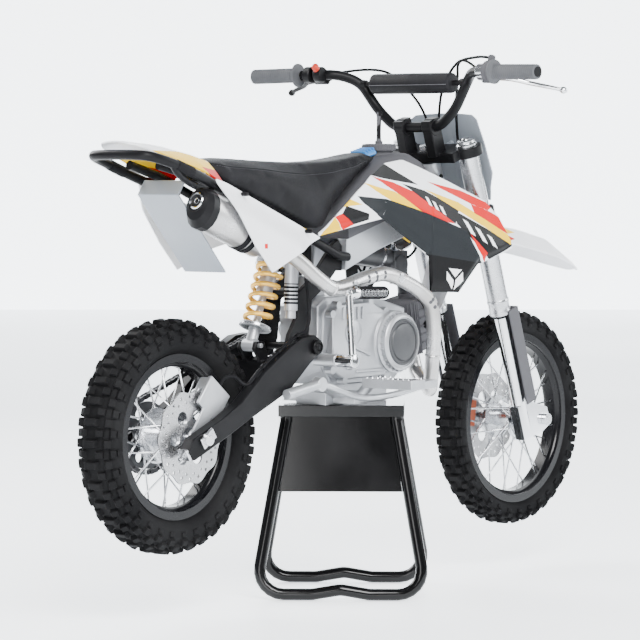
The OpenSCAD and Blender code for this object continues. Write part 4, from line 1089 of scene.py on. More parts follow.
    def build(self) -> None:
        """Builds the engine."""
        refine("engine_case", CAST_SILVER, Body.FRAME, 3.0)
        refine("engine_cylinder", DARK_PLASTIC, Body.FRAME, 1.0)
        refine("kick_starter", CHROME, Body.FRAME, 1.5, 50)
        self.clutch_cover()
        self.fins()
        self.case_detail()
        self.carburettor()
        bm = bmesh.new()
        a, b = mm(402, -158, 643), mm(503, -156, 640)
        ridges = [(0, 11.5)] + [(4 + i * 5 + j, 13.4 if j in (1, 3) else 12.4) for i in range(19)
                                for j in (0, 1, 3, 4)]
        add_turned(bm, a, b - a, ridges + [(101, 12.5), (104, 8)], 20)
        dress(new_piece("kick_rubber", bm, 50), RUBBER, Body.FRAME)


@dataclass
class Exhaust:
    """High exhaust: header pipe with a pierced shield, and the oval muffler."""

    back: Point = (-6.0, -77.0, 826.0)
    front: Point = (212.0, -85.0, 747.0)
    height: float = 84.0
    width: float = 70.0
    route: list[Point] = field(default_factory=lambda: [
        (803, 0, 492), (803, -12, 456), (775, -62, 426), (740, -96, 428), (724, -112, 470), (716, -124, 545),
        (700, -128, 606), (666, -127, 635), (610, -125, 660), (541, -125, 677), (473, -125, 669),
                                                        (414, -125, 656),
        (367, -125, 653), (322, -120, 676), (284, -110, 706), (250, -98, 730), (226, -90, 741)])

    def header(self) -> None:
        """Builds the pipe, its weld rings, blank badges, and dark discs that paint the shade seen through the
        shield's holes.
        """
        path = smooth_path([mm(*p) for p in self.route], 10)
        bm = bmesh.new()
        add_tube(bm, path, 0.0155, 28)
        dress(new_piece("header_tube", bm, 60), BRUSHED, Body.FRAME, "header_pipe")
        hole_shade, badges, rings = bmesh.new(), bmesh.new(), bmesh.new()

        def outward(i: int, turn: float) -> tuple[Vector, Vector]:
            """Returns the surface point and direction at a turn from the right side, in degrees."""
            way = (path[i + 1] - path[i - 1]).normalized()
            out = (RIGHT - way * RIGHT.dot(way)).normalized()
            up = out.cross(way)
            a = math.radians(turn)
            out = math.cos(a) * out + math.sin(a) * up
            return path[i] + out * 0.0154, out

        # The shield's holes are not cut: flat dark discs on the pipe are painted shade where the holes show
        # the dark gap under the shield.
        for i, turns in ((60, (-24, 20)), (64, (-30, 6, 34)), (92, (-14, 22)), (96, (-30, 4, 34)),
                         (100, (-16, 20))):
            for turn in turns:
                p, out = outward(i, turn)
                add_turned(hole_shade, p - out * 0.001, out, [(0, 4.4), (1.2, 4.4), (1.3, 0.2)], 16)
        for i in (84, 108):
            p, out = outward(i, 4)
            add_turned(badges, p - out * 0.001, out, [(0, 10), (1.4, 10), (2.0, 9), (2.0, 7.4), (1.4, 7),
                                                      (1.4, 0.2)], 28)
        for i in (44, 120, 158):
            way = (path[min(i + 1, len(path) - 1)] - path[i - 1]).normalized()
            add_turned(rings, path[i] - way * 0.003, way, [(0, 15.6), (1.5, 17.2), (4.5, 17.2), (6, 15.6)],
                       28)
        dress(new_piece("header_shield_holes", hole_shade), DARK_PLASTIC, Body.FRAME)
        dress(new_piece("header_badges", badges), MACHINED, Body.FRAME)
        dress(new_piece("header_weld_rings", rings, 60), BRUSHED, Body.FRAME)

    def ring(self, along: float, grow: float = 1.0, count: int = 56,
             shift: tuple[float, float] = (0, 0)) -> list[Vector]:
        """Returns one oval ring of the muffler.

        Args:
            along: distance from the front end in millimetres.
            grow: scale of the oval.
            count: points in the ring.
            shift: outward and upward shift in millimetres.

        Returns:
            Points in metres.
        """
        a, b = mm(*self.front), mm(*self.back)
        way = (b - a).normalized()
        side = (RIGHT - way * RIGHT.dot(way)).normalized()
        up = way.cross(side)
        if up.z < 0:
            up = -up
        made = []
        for j in range(count):
            t = 2 * math.pi * j / count
            x = self.width / 2 * grow * math.cos(t)
            y = self.height / 2 * grow * math.sin(t)
            made.append(a + way * (along / 1000) + (side * (x + shift[0]) + up * (y + shift[1])) / 1000)
        return made

    def muffler(self) -> None:
        """Builds the sleeve, tapered inlet, end cap, outlet, straps and rivets."""
        length = (mm(*self.back) - mm(*self.front)).length * 1000
        bm = bmesh.new()
        add_rings(bm, [self.ring(4, 0.45), self.ring(20, 0.72), self.ring(34, 0.97), self.ring(38, 1.0),
                       self.ring(length - 34, 1.0), self.ring(length - 33, 0.98)])
        dress(new_piece("muffler_sleeve", bm, 30), BRUSHED, Body.FRAME, "muffler")
        bm = bmesh.new()
        count = 16
        add_rings(bm, [self.ring(length - 36, 1.02, count), self.ring(length - 18, 1.02, count),
                       self.ring(length - 4, 0.8, count, (1, 4)), self.ring(length + 1, 0.55, count, (2, 8)),
                       self.ring(length - 1, 0.4, count, (2, 9))])
        dress(new_piece("muffler_end_cap", bm, 20), SATIN_BLACK, Body.FRAME)
        a, b = mm(*self.front), mm(*self.back)
        way = (b - a).normalized()
        up = UP - way * way.z
        centre = b + up.normalized() * 0.009 + RIGHT * 0.002
        bm = bmesh.new()
        add_turned(bm, centre - way * 0.012, way, [(0, 17.5), (14, 17.5), (16, 16), (15, 13.4), (2, 12.6),
                                                   (2, 6)], 36)
        add_turned(bm, centre - way * 0.012, way, [(3, 6.5), (12, 6.5), (12.5, 4.5), (6, 4.2)], 20)
        dress(new_piece("muffler_outlet", bm), CHROME, Body.FRAME)
        bm = bmesh.new()
        for along in (66, 84):
            add_rings(bm, [self.ring(along, 1.0), self.ring(along + 1, 1.05), self.ring(along + 12, 1.05),
                           self.ring(along + 13, 1.0)])
        dress(new_piece("muffler_straps", bm, 40), RUBBER, Body.FRAME)
        spots = []
        for along in (length - 42, 44):
            outer = self.ring(along, 1.0, 10)
            middle = sum(outer, Vector()) / 10
            spots += [(p, (p - middle).normalized(), AHEAD) for p in outer]
        scatter.make("muffler_rivets", dome_head(2.6, 1.8), spots, MACHINED, Body.FRAME, 0.001)

    def build(self) -> None:
        """Builds the exhaust."""
        self.header()
        self.muffler()


# ---------------------------------------------------------------- bodywork


@dataclass
class Bodywork:
    """Seat, tank, shrouds, panels and rear fender."""

    puff: float = 7.0

    def seat(self) -> None:
        """Blows the cushion up under its cover, then lays the seams on it."""
        bm = bmesh.new()
        bm.from_mesh(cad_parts["seat"].data)
        bmesh.ops.remove_doubles(bm, verts=bm.verts, dist=1e-5)
        seat = new_piece("seat_cushion", bm, 180)
        middle = sum((v.co for v in seat.data.vertices), Vector()) / len(seat.data.vertices)
        for v in seat.data.vertices:
            v.co = middle + Vector(((v.co.x - middle.x) * 0.985, (v.co.y - middle.y) * 0.95,
                                    (v.co.z - middle.z) * 0.95))
        remesh = seat.modifiers.new("even", "REMESH")
        remesh.mode = "VOXEL"
        remesh.voxel_size = 0.005
        self.bake(seat)
        rest = [v.co.copy() for v in seat.data.vertices]
        cloth = seat.modifiers.new("cover", "CLOTH")
        cloth.settings.use_pressure = True
        cloth.settings.uniform_pressure_force = 4.0
        cloth.settings.effector_weights.gravity = 0.0
        cloth.settings.quality = 4
        scene = bpy.context.scene
        for number in range(1, 21):
            scene.frame_set(number)
        self.bake(seat)
        scene.frame_set(1)
        for v, start in zip(seat.data.vertices, rest):
            move = v.co - start
            if move.length > self.puff / 1000:
                v.co = start + move.normalized() * (self.puff / 1000)
        smooth = seat.modifiers.new("smooth", "SMOOTH")
        smooth.factor, smooth.iterations = 0.5, 6
        self.bake(seat)
        seat.data.polygons.foreach_set("use_smooth", [True] * len(seat.data.polygons))
        fine = seat.modifiers.new("fine", "SUBSURF")
        fine.levels = fine.render_levels = 1
        dress(seat, VINYL, Body.FRAME, "seat")
        crown = [(72, 917), (150, 911), (239, 906), (368, 902), (467, 905), (540, 912), (600, 921)]
        width = [(72, 50), (104, 68), (219, 77), (385, 81), (457, 78), (551, 64), (600, 50)]
        welt, thread = bmesh.new(), []
        tree = self.tree_of(seat)
        for s in (-1, 1):
            line = []
            for i in range(90):
                x = 80 + 520 * i / 89
                y, z = s * table_at(width, x) * 0.86, table_at(crown, x) - 4
                line.append(tree.find_nearest(mm(x, y, z))[0])
            add_tube(welt, line, 0.0013, 8)
            for i in range(2, len(line) - 2):
                way = (line[i + 1] - line[i - 1]).normalized()
                hit, normal, _, _ = tree.find_nearest(line[i] + Vector((0, s * 0.004, -0.001)))
                thread.append((hit, normal, way))
        dress(new_piece("seat_welt", welt, 60), VINYL, Body.FRAME)
        bm = bmesh.new()
        add_block(bm, Vector(), (3.4, 0.9, 0.9), AHEAD, 0.25)
        scatter.make("seat_stitches", bm, thread, DARK_PLASTIC, Body.FRAME)

    @staticmethod
    def tree_of(piece: bpy.types.Object) -> BVHTree:
        """Returns a search tree over a piece's finished surface."""
        return BVHTree.FromObject(piece, bpy.context.evaluated_depsgraph_get())

    @staticmethod
    def bake(piece: bpy.types.Object) -> None:
        """Applies all modifiers of a piece to its mesh."""
        ready = piece.evaluated_get(bpy.context.evaluated_depsgraph_get())
        made = bpy.data.meshes.new_from_object(ready)
        piece.modifiers.clear()
        piece.data = made

    def shrouds(self) -> None:
        """Builds both printed tank shrouds with a rolled lower edge and their screws."""
        top = [(366, 765), (448, 822), (522, 878), (593, 908), (655, 915), (700, 900), (785, 868),
               (888, 826), (933, 790),
               (979, 730)]
        low = [(366, 759), (448, 772), (522, 785), (567, 792), (706, 712), (712, 709), (720, 634), (809, 630),
               (867, 690), (879, 692), (979, 722)]
        out = [(366, 96), (567, 106), (712, 120), (800, 128), (888, 137), (979, 142)]
        lean = [(366, 0), (522, 3), (593, 20), (655, 30), (785, 16), (888, 5), (979, 0)]
        steps = sorted(set([366 + 613 * i / 80 for i in range(81)] + [706, 712, 720, 809, 867, 979]))
        count = 26
        for s, label in ((-1, "right"), (1, "left")):
            bm = bmesh.new()

            def side(x: float, z: float) -> float:
                """Returns how far out the panel stands at a place."""
                fold = 4.0 * clamp01((z - (table_at(low, x) + 6)) / 10) - 4.0
                crease = 3.2 * math.exp(-((z - (835 - (x - 600) * 0.34)) / 16) ** 2)
                return (table_at(out, x) - table_at(lean, x) * max(0.0,
                                                                   (z - table_at(top, x) + 80) / 80) ** 1.6
                        - 0.05 * max(0.0, 720 - z) + fold + crease)

            rings = []
            for x in steps:
                lo, hi = table_at(low, x), table_at(top, x)
                ring = []
                for j in range(count + 1):
                    z = lo + (hi - lo) * j / count
                    ring.append(mm(x, s * side(x, z), z))
                for j in range(count, -1, -1):
                    z = lo + (hi - lo) * j / count
                    ring.append(mm(x, s * (side(x, z) - 3.0), z))
                rings.append(ring)
            add_rings(bm, rings)
            piece = new_piece(f"{label}_printed_shroud", bm, 50)
            dress(piece, SHROUD, Body.FRAME, f"{label}_shroud")
            way = RIGHT if s < 0 else LEFT
            spots = [(mm(x, s * (side(x, z) - 0.5), z), way, AHEAD) for x,
                     z in ((630, 898), (468, 812), (842, 680))]
            scatter.make(f"{label}_shroud_screws", socket_head(5.5, 2.6), spots, MACHINED, Body.FRAME, 0.001)

    def side_panels(self) -> None:
        """Builds the bowed side panels."""
        top = [(28, 878), (60, 869), (352, 757)]
        low = [(28, 873), (66, 815), (120, 745), (174, 690), (262, 726), (352, 754.5)]
        count = 18
        for s, label in ((-1, "right"), (1, "left")):
            bm, rings = bmesh.new(), []
            for i in range(61):
                x = 28 + 324 * i / 60
                lo, hi = table_at(low, x), table_at(top, x)
                row = []
                for j in range(count + 1):
                    z = lo + (hi - lo) * j / count
                    t = clamp01((hi - z) / 60)
                    row.append((z, 105 + 23 * (t * t * (3 - 2 * t)) * min(1.0, (356 - x) / 90)))
                rings.append([mm(x, s * y, z) for z, y in row] + [mm(x, s * (y - 3), z) for z,
                                                                  y in reversed(row)])
            add_rings(bm, rings)
            dress(new_piece(f"{label}_printed_side_panel", bm, 50), SIDE, Body.FRAME, f"{label}_side_panel")

    def tank(self) -> None:
        """Builds the tank cover, the ribbed cap and the breather hose."""
        refine("fuel_tank", DARK_PLASTIC, Body.FRAME, 0, 46)
        bm = bmesh.new()
        ring = [(0, 33), (2, 35.5), (13, 35.5), (15, 33), (16, 26), (14.5, 24), (14.5, 4)]
        add_turned(bm, mm(684, 0, 933), UP, ring, 64)
        for i in range(36):
            a = 2 * math.pi * i / 36
            add_block(bm, mm(684 + 35.4 * math.cos(a), 35.4 * math.sin(a), 940.5), (2.4, 2.4, 11),
                      Vector((math.cos(a), math.sin(a), 0)), 0.5)
        add_turned(bm, mm(684, 0, 946), UP, [(0, 8), (8, 8), (10, 5.5), (14, 5)], 20)
        dress(new_piece("fuel_cap", bm), DARK_PLASTIC, Body.FRAME)
        bm = bmesh.new()
        add_tube(bm, smooth_path([mm(684, 0, 952), mm(684, 0, 980), mm(685, 0, 1000), mm(686, 0, 1014)], 6),
                 0.0048, 14)
        add_turned(bm, mm(686, 0, 1008), UP, [(0, 6.4), (8, 6.4), (10, 4.5)], 16)
        dress(new_piece("breather_hose", bm), RUBBER, Body.FRAME)
        bm = bmesh.new()
        add_block(bm, mm(628, 0, 926), (46, 44, 12), Vector((1, 0, 0.25)), 4)
        for i in range(4):
            add_block(bm, mm(612 + i * 10, 0, 930 + i * 2.4), (3, 40, 8), Vector((1, 0, 0.25)), 1)
        dress(new_piece("tank_vent", bm), BLUE_PLASTIC, Body.FRAME)

    def tail(self) -> None:
        """Builds the rear fender, grab rail and mudflap."""
        crown = [(-155, 953), (-60, 944), (20, 930), (66, 920), (100, 905)]
        width = [(-155, 30), (-148, 44), (-130, 56), (-100, 66), (-60, 74), (20, 86), (66, 90), (100, 84)]
        fall = [(-155, 3), (-120, 12), (-60, 26), (20, 38), (66, 50), (100, 44)]
        bm, rings = bmesh.new(), []
        count = 30
        for i in range(44):
            x = -155 + 240 * i / 43
            w, f, h = table_at(width, x), table_at(fall, x), table_at(crown, x)
            if x > 66:
                h -= (x - 66) * 1.1
            row = []
            for j in range(count + 1):
                u = 1 - 2 * j / count
                ridge = 2.2 * math.exp(-((abs(u) - 0.56) / 0.1) ** 2) * clamp01((x + 140) / 40)
                row.append((w * u, h - f * abs(u) ** 2.6 + ridge))
            rings.append([mm(x, y, z) for y, z in row] + [mm(x, y * 0.985, z - 3.2) for y,
                                                          z in reversed(row)])
        add_rings(bm, rings)
        dress(new_piece("rear_fender_shell", bm, 50), TAIL, Body.FRAME, "rear_fender")
        side = [(72, -75.6, 858), (20, -87, 874.2), (-30, -90, 891), (-75, -88, 906), (-130, -76, 921),
                (-150, -46, 925)]
        line = [mm(*p) for p in side] + [mm(x, -y, z) for x, y, z in reversed(side)]
        bm = bmesh.new()
        add_tube(bm, smooth_path(line, 9), 0.010, 20)
        arm = [(-84, -87, 906), (-66, -84, 890), (-44, -79, 880), (-24, -77, 872), (-6, -77, 866)]
        add_tube(bm, smooth_path([mm(*p) for p in arm], 8), 0.0072, 16)
        add_tube(bm, [mm(44.8, -78.7, 867.6), mm(40.1, -78.7, 854.5)], 0.006, 16)
        dress(new_piece("tail_rail", bm, 60), SATIN_BLACK, Body.FRAME, "grab_rail")
        bm = bmesh.new()
        for s in (-1, 1):
            add_tube(bm, [mm(x, s * abs(y), z) for x, y, z in side[2:4]], 0.0112, 20)
        dress(new_piece("rail_sleeves", bm, 60), RUBBER, Body.FRAME)
        refine("mudflap", GREY_PLASTIC, Body.FRAME, 1.5)

    def build(self) -> None:
        """Builds the bodywork."""
        self.seat()
        self.shrouds()
        self.side_panels()
        self.tank()
        self.tail()


# ---------------------------------------------------------------- front end


@dataclass
class FrontEnd:
    """Fork, yokes, handlebar, controls, front fender and number plate."""

    bar_half: float = 384.0
    fork_y: float = 87.0
    fork_x: float = 30.0

    def bar_way(self, s: int) -> Vector:
        """Returns the direction of a grip, outward, in the frame's coordinates."""
        return steer_way(-0.08, s, 0.01).normalized()

    def bar_end(self, s: int) -> Vector:
        """Returns the end of the bar on one side."""
        k = self.bar_half - 222
        return steer(-54 - 0.08 * k, s * self.bar_half, 187 + 0.01 * k)

    def bars(self) -> None:
        """Builds the bar with its cross brace, pad, clamps and grips."""
        half = [Vector(p) for p in BAR_SIDE]
        round_side: list[Vector] = [half[0]]
        for a, b, c in zip(half, half[1:], half[2:]):
            back, on = (a - b), (c - b)
            cut = min(22.0, back.length * 0.45, on.length * 0.45)
            p, q = b + back.normalized() * cut, b + on.normalized() * cut
            round_side += [p * (1 - t) ** 2 + 2 * b * t * (1 - t) + q * t * t
                           for t in (i / 8 for i in range(9))]
        end = Vector((-54 - 0.08 * 162, self.bar_half, 187 + 1.62))
        round_side.append(end)
        path = [steer(p.x, -p.y, p.z) for p in reversed(round_side[1:])] + [steer(p.x, p.y, p.z)
                                                                            for p in round_side]
        bm = bmesh.new()
        add_tube(bm, path, 0.011, 24)
        dress(new_piece("handlebar_tube", bm, 60), SATIN_BLACK, Body.STEERING, "handlebar")
        bm = bmesh.new()
        add_tube(bm, [steer(1, -142, 146), steer(1, 142, 146)], 0.006, 20)
        for s in (-1, 1):
            add_tube(bm, [steer(1, s * 128, 146), steer(1, s * 146, 146)], [0.009, 0.0105], 20)
        dress(new_piece("bar_cross_tube", bm, 60), SATIN_BLACK, Body.STEERING, "bar_brace")
        bm = bmesh.new()
        start = steer(1, -108, 146)
        add_turned(bm, start, LEFT, [(0, 12), (0.5, 19), (3, 21.6), (7, 22), (103, 22.3), (108, 22.6),
                                     (113, 22.3),
                                     (209, 22), (213, 21.6), (215.5, 19), (216, 12)], 40)
        pad = dress(new_piece("brace_pad", bm, 50), VINYL, Body.STEERING, "bar_pad")
        bm = bmesh.new()
        add_block(bm, steer(-21, 0, 150), (1.2, 208, 3.0), steer_way(0, 0, 1), 0.4)
        dress(new_piece("pad_seam", bm), DARK_PLASTIC, Body.STEERING)
        for s, label in ((-1, "right"), (1, "left")):
            way, end_at = self.bar_way(s), self.bar_end(s)
            bm = bmesh.new()
            profile = [(-122, 14), (-121.8, 25.5), (-118, 26), (-116.5, 17.5)]
            for i in range(19):
                h = -113 + i * 5.6
                profile += [(h, 15.4), (h + 1.2, 16.2), (h + 3.2, 16.2), (h + 4.4, 15.4)]
            profile += [(-5, 16.2), (-2, 15.5), (-1.2, 12)]
            add_turned(bm, end_at, way, profile, 32)
            nodes = ("grips",) if s < 0 else ()
            dress(new_piece(f"{label}_grip", bm, 40), GREY_RUBBER, Body.STEERING, *nodes)
        way, end_at = self.bar_way(-1), self.bar_end(-1)
        bm = bmesh.new()
        add_turned(bm, end_at, way, [(-138, 16), (-138, 22), (-136, 24), (-125, 24), (-123.5, 22)], 40)
        add_block(bm, end_at - way * 0.131 + steer_way(14, 0, 22), (20, 12, 14),
                  steer_way(1, 0, 1.4), 2)
        dress(new_piece("throttle_housing", bm), DARK_PLASTIC, Body.STEERING)
        way, end_at = self.bar_way(1), self.bar_end(1)
        bm = bmesh.new()
        add_turned(bm, end_at, way, [(-186, 12), (-186, 16), (-184, 17), (-170, 17), (-168, 16),
                                     (-168, 12)], 32)
        dress(new_piece("switch_clamp", bm), SATIN_BLACK, Body.STEERING)
        bm = bmesh.new()
        add_turned(bm, end_at - way * 0.177 + steer_way(-6, 0, 12), steer_way(-0.5, 0, 1),
                   [(0, 8), (12, 8), (14, 7), (16, 4)], 20)
        dress(new_piece("stop_button", bm), RED_PLASTIC, Body.STEERING)

    def yokes(self) -> None:
        """Adds clamp caps, pinch bolts, the stem nut and fork caps."""
        up = steer_way(0, 0, 1).normalized()
        fore = steer_way(1, 0, 0).normalized()
        bm = bmesh.new()
        for y in (-38, 38):
            add_turned(bm, steer(-16, y - 13, 52), LEFT,
                       [(0, 12), (0, 18), (2, 19.5), (24, 19.5), (26, 18), (26, 12)], 28)
        dress(new_piece("bar_clamps", bm), SATIN_BLACK, Body.STEERING)
        spots = [(steer(-16 + dx, y + dy, 66), up, fore) for y in (-38, 38) for dx in (-13, 13)
                 for dy in (-7, 7)]
        scatter.make("bar_clamp_bolts", socket_head(4.3, 7.0), spots, CHROME, Body.STEERING, 0.001)
        spots = []
        for z in (-20, -160, -168):
            for s in (-1, 1):
                spots.append((steer(self.fork_x - 24, s * (self.fork_y + 27), z), LEFT * s, fore))
        scatter.make("pinch_bolts", socket_head(4.4, 5.0), spots, CHROME, Body.STEERING, 0.001)
        bm = bmesh.new()
        add_turned(bm, steer(0, 0, -8), up, [(0, 17), (5, 17), (7, 15), (14, 15), (15, 12)], 6)
        for s in (-1, 1):
            base = steer(self.fork_x, s * self.fork_y, -5)
            add_turned(bm, base, up, [(0, 22.6), (4, 22.6), (6, 20), (8, 19), (12, 19), (13, 17), (13, 9),
                                      (15, 8), (17, 6)], 32)
        dress(new_piece("stem_nut_and_fork_caps", bm), MACHINED, Body.STEERING)

    def fork(self) -> None:
        """Adds seals, clamps and the guard screws."""
        up = steer_way(0, 0, 1).normalized()
        bm = bmesh.new()
        for s in (-1, 1):
            add_turned(bm, steer(self.fork_x, s * self.fork_y, -396), up,
                       [(-1, 17), (0, 22), (2, 24), (10, 24), (12, 23.4), (26, 23.4), (28, 24.4),
                        (34, 24.4), (36, 23)], 36)
        dress(new_piece("fork_seal_heads", bm), MACHINED, Body.STEERING)
        bm = bmesh.new()
        for s in (-1, 1):
            add_turned(bm, steer(self.fork_x, s * self.fork_y, -397), -up,
                       [(0, 19.5), (4, 19.5), (6, 17.2)], 32)
        dress(new_piece("fork_wipers", bm), RUBBER, Body.STEERING)
        fore = steer_way(1, 0, 0).normalized()
        spots = [(steer(61, s * (self.fork_y + dy), -602), fore, LEFT) for s in (-1, 1) for dy in (-8, 8)]
        scatter.make("guard_screws", socket_head(4.0, 3.0), spots, MACHINED, Body.STEERING, 0.001)

    def cables(self) -> None:
        """Builds the hoses and cables from bar to caliper, head and engine."""
        hose = [(-25, -206, 165), (-2, -180, 178), (36, -110, 184), (66, -30, 120), (76, 10, 40),
                (78, 36, -60),
                (72, 50, -160), (52, 56, -220), (24, 57, -262), (0, 58, -310), (2, 60, -380), (14, 64, -450),
                (23, 66, -520), (25, 66, -594)]
        bm = bmesh.new()
        add_tube(bm, smooth_path([steer(*p) for p in hose], 8), 0.003, 10)
        dress(new_piece("front_hose", bm, 60), RUBBER, Body.STEERING, "front_brake_hose")
        bm = bmesh.new()
        for route in ([(-43, -254, 211.5), (-38, -236, 214), (-18, -196, 208), (8, -130, 190), (34, -96, 146),
                       (58, -60, 80), (63, -44, 20), (64, -38, -20)],
                      [(-25, 206, 165), (-2, 180, 176), (42, 100, 160), (62, 50, 90), (70, 34, 20),
                       (66, 28, -20)]):
            add_tube(bm, smooth_path([steer(*p) for p in route], 8), 0.003, 10)
        dress(new_piece("bar_control_cables", bm, 60), RUBBER, Body.STEERING, "bar_cables")
        bm = bmesh.new()
        for route in ([(866, -32, 878), (840, -48, 880), (800, -64, 864), (764, -67, 826), (757, -64, 776),
                       (754, -46, 724), (750, -26.5, 704)],
                      [(866, 32, 878), (840, 48, 879), (806, 64, 858), (786, 71, 800), (740, 74, 700),
                       (690, 60, 640),
                       (664, 38, 611.2)]):
            add_tube(bm, smooth_path([mm(*p) for p in route], 8), 0.003, 10)
        dress(new_piece("frame_control_cables", bm, 60), RUBBER, Body.FRAME, "frame_cables")

    def levers(self) -> None:
        """Builds both curved levers with ball ends, and the brake's master cylinder."""
        for s, label, finish, tip in ((-1, "brake", CHROME, (18, 372, 122)),
                                      (1, "clutch", SATIN_BLACK, (14, 352, 126))):
            c = Vector((-54.96, 234, 187.1))
            f = Vector((0.8, 0, -0.6))
            bm = bmesh.new()

            def at(p: Vector | Point) -> Vector:
                """Moves a point of the left lever to the frame, mirrored for the right."""
                return steer(p[0], s * p[1], p[2])

            a = c + 38 * f + Vector((0, 8, 0))
            b = c + 50 * f + Vector((0, 44, 0))
            end = Vector(tip)
            blade = smooth_path([at(a), at(b), at(b.lerp(end, 0.35) + Vector((3, 0, -2))),
                                 at(b.lerp(end, 0.75)), at(end)], 8)
            sizes = [0.0062 - 0.0022 * i / (len(blade) - 1) for i in range(len(blade))]
            add_tube(bm, blade, sizes, 14)
            ball = [(9 * (1 - math.cos(t)), 7.5 * math.sin(t)) for t in (math.pi * i / 10 for i in range(11))]
            add_turned(bm, at(end) - (blade[-1] - blade[-2]).normalized() * 0.004, blade[-1] - blade[-2],
                       ball, 20)
            dress(new_piece(f"{label}_lever_blade", bm, 60), finish, Body.STEERING, f"{label}_lever")
            bm = bmesh.new()
            add_turned(bm, at(c + Vector((0, -9, 0))), at(c + Vector((0, 9, 0))) - at(c + Vector((0, -9, 0))),
                       [(0, 12), (0, 16.5), (1.5, 18), (16.5, 18), (18, 16.5), (18, 12)], 32)
            add_tube(bm, [at(c + 12 * f), at(c + 36 * f)], 0.009, 16)
            r = 12 if s < 0 else 9
            add_turned(bm, at(c + 37 * f - Vector((0, 26, 0))), at((0, 1, 0)) - at((0, 0, 0)),
                       [(0, r - 5), (2, r - 3), (4, r), (36, r), (38, r - 1.5), (42, r - 2)], 24)
            if s < 0:
                add_block(bm, at(c + 37 * f + Vector((0, -6, 0)) + Vector((8, 0, 14))), (20, 34, 18),
                          steer_way(1, 0, 0.2), 3)
            dress(new_piece(f"{label}_perch", bm), CHROME if s < 0 else SATIN_BLACK, Body.STEERING)

    def fender(self) -> None:
        """Builds the beaked front fender."""
        crown = [(-118, 590), (-90, 638), (-60, 700), (-30, 748), (0, 764), (60, 771), (130, 768),
                 (190, 761), (300, 738),
                 (400, 690), (448, 664)]
        width = [(-118, 34), (-40, 44), (30, 52), (110, 60), (190, 64), (300, 56), (400, 34), (440, 16),
                 (448, 5)]
        fall = [(-118, 10), (-40, 16), (30, 26), (110, 38), (190, 44), (300, 40), (400, 16), (448, 2)]
        bm, rings, count = bmesh.new(), [], 28
        for i in range(71):
            x = -118 + 566 * i / 70
            row = []
            h = (table_at(crown, x - 8) + table_at(crown, x) + table_at(crown, min(448, x + 8))) / 3
            for j in range(count + 1):
                u = 1 - 2 * j / count
                ends = clamp01((x - 40) / 60) * clamp01((420 - x) / 60)
                ridge = 1.8 * math.exp(-((abs(u) - 0.45) / 0.09) ** 2) * ends
                row.append((table_at(width, x) * u, h - table_at(fall, x) * abs(u) ** 2.4 + ridge))
            rings.append([mm(970 + x, y, z) for y, z in row] + [mm(970 + x, y * 0.98, z - 3.2) for y,
                                                                z in reversed(row)])
        add_rings(bm, rings)
        up = steer_way(0, 0, 1).normalized()
        add_turned(bm, steer(26, 0, -176.3), -up, [(0, 15), (44, 15)], 24)
        dress(new_piece("front_fender_shell", bm, 50), BEAK, Body.STEERING, "front_fender")

    def build(self) -> None:
        """Builds the front end."""
        for node, finish, edge in (
                ("triple_clamps", SATIN_BLACK, 1.5), ("fork_tubes", MACHINED, 0), ("fork_legs", CHROME, 1.0),
                ("fork_guards", DARK_PLASTIC, 1.5), ("front_axle", MACHINED, 0.6),
                ("number_plate", GREY_PLASTIC, 1.0), ("front_caliper", CALIPER_RED, 2.5)):
            refine(node, finish, Body.STEERING, edge)
        self.bars()
        self.yokes()
        self.fork()
        self.cables()
        self.levers()
        self.fender()


# ---------------------------------------------------------------- stage


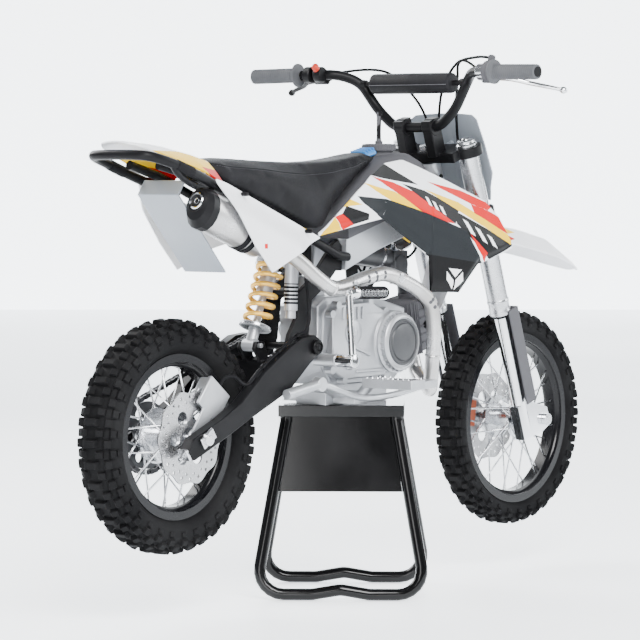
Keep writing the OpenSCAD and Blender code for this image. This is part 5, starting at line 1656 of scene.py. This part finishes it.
@dataclass
class Studio:
    """Pale floor and wall, soft lights and the camera."""

    eye: Point = (-5.7655, -4.543, 0.925)
    look: Point = (0.7788, 0.6254, -0.0476)
    lens: float = 194.8

    def light(self, name: str, place: Point, target: Point, size: float, power: float,
              tint: Colour = (1, 1, 1)) -> None:
        """Adds a soft square light.

        Args:
            name: name of the light.
            place: where it hangs, in metres.
            target: what it faces.
            size: side of its square in metres.
            power: watts.
            tint: colour of its light.
        """
        data = bpy.data.lights.new(name, "AREA")
        data.size, data.energy, data.color = size, power, tint
        lamp = bpy.data.objects.new(name, data)
        lamp.location = place
        lamp.rotation_mode = "QUATERNION"
        lamp.rotation_quaternion = (Vector(target) - Vector(place)).to_track_quat("-Z", "Y")
        bpy.context.scene.collection.objects.link(lamp)

    def build(self) -> None:
        """Builds the floor, wall, lights and camera."""
        scene = bpy.context.scene
        camera = bpy.data.cameras.new("camera")
        camera.lens, camera.sensor_width = self.lens, 36.0
        camera.clip_end = 100
        holder = bpy.data.objects.new("camera", camera)
        holder.location = self.eye
        holder.rotation_mode = "QUATERNION"
        holder.rotation_quaternion = Vector(self.look).to_track_quat("-Z", "Y")
        scene.collection.objects.link(holder)
        scene.camera = holder
        world = bpy.data.worlds.new("soft_room")
        world.use_nodes = True
        world.node_tree.nodes["Background"].inputs[0].default_value = (0.93, 0.965, 1.0, 1)
        world.node_tree.nodes["Background"].inputs[1].default_value = 0.3
        scene.world = world
        bm = bmesh.new()
        add_rings(bm, [[Vector((x, -20, z)), Vector((x, 20, z)), Vector((x, 20, z - 0.05)),
                        Vector((x, -20, z - 0.05))]
                       for x, z in ((-20, 0), (20, 0))])
        self.plain(new_piece("studio_floor", bm), "pale_floor", 1.3)
        bm = bmesh.new()
        add_block(bm, Vector((10.5, 8.4, 6.0)), (100, 24000, 12000), Vector((0.78, 0.625, 0)), 1)
        self.plain(new_piece("studio_wall", bm), "bright_wall", 4.0)
        self.light("key", (-2.4, -3.2, 3.4), (0, 0, 0.5), 2.4, 480)
        self.light("fill", (3.4, -3.0, 2.2), (0.2, 0, 0.6), 2.6, 190, (0.95, 0.98, 1))
        self.light("back", (-0.5, 3.4, 3.0), (0, 0, 0.6), 2.6, 260)
        self.light("low", (-3.6, -1.4, 0.7), (0, 0, 0.5), 1.6, 60)

    @staticmethod
    def plain(piece: bpy.types.Object, name: str, glow: float) -> None:
        """Gives a stage piece a pale finish that glows a little."""
        n = Finish(name, (0.9, 0.92, 0.94), (0.88, 0.9, 0.925), 0.5, patch=0.5, relief=0.02).nodes()
        n.shader.inputs["Emission Color"].default_value = (0.93, 0.97, 1, 1)
        n.shader.inputs["Emission Strength"].default_value = glow
        piece.data.materials.append(n.material)


def main() -> None:
    """Builds the stage and every assembly in order."""
    Studio().build()
    PaddockStand().build()
    Chassis().build()
    Shock().build()
    Engine().build()
    Exhaust().build()
    Bodywork().build()
    FrontEnd().build()
    Wheel("rear", Body.REAR_WHEEL, 0.0, 365.0, 470.0, 92.0, 332.0, 54.0, 1).build()
    Wheel("front", Body.FRONT_WHEEL, 1160.0, 336.0, 480.0, 72.0, 383.0, 48.0, -1).build()


if __name__ == "__main__":
    main()
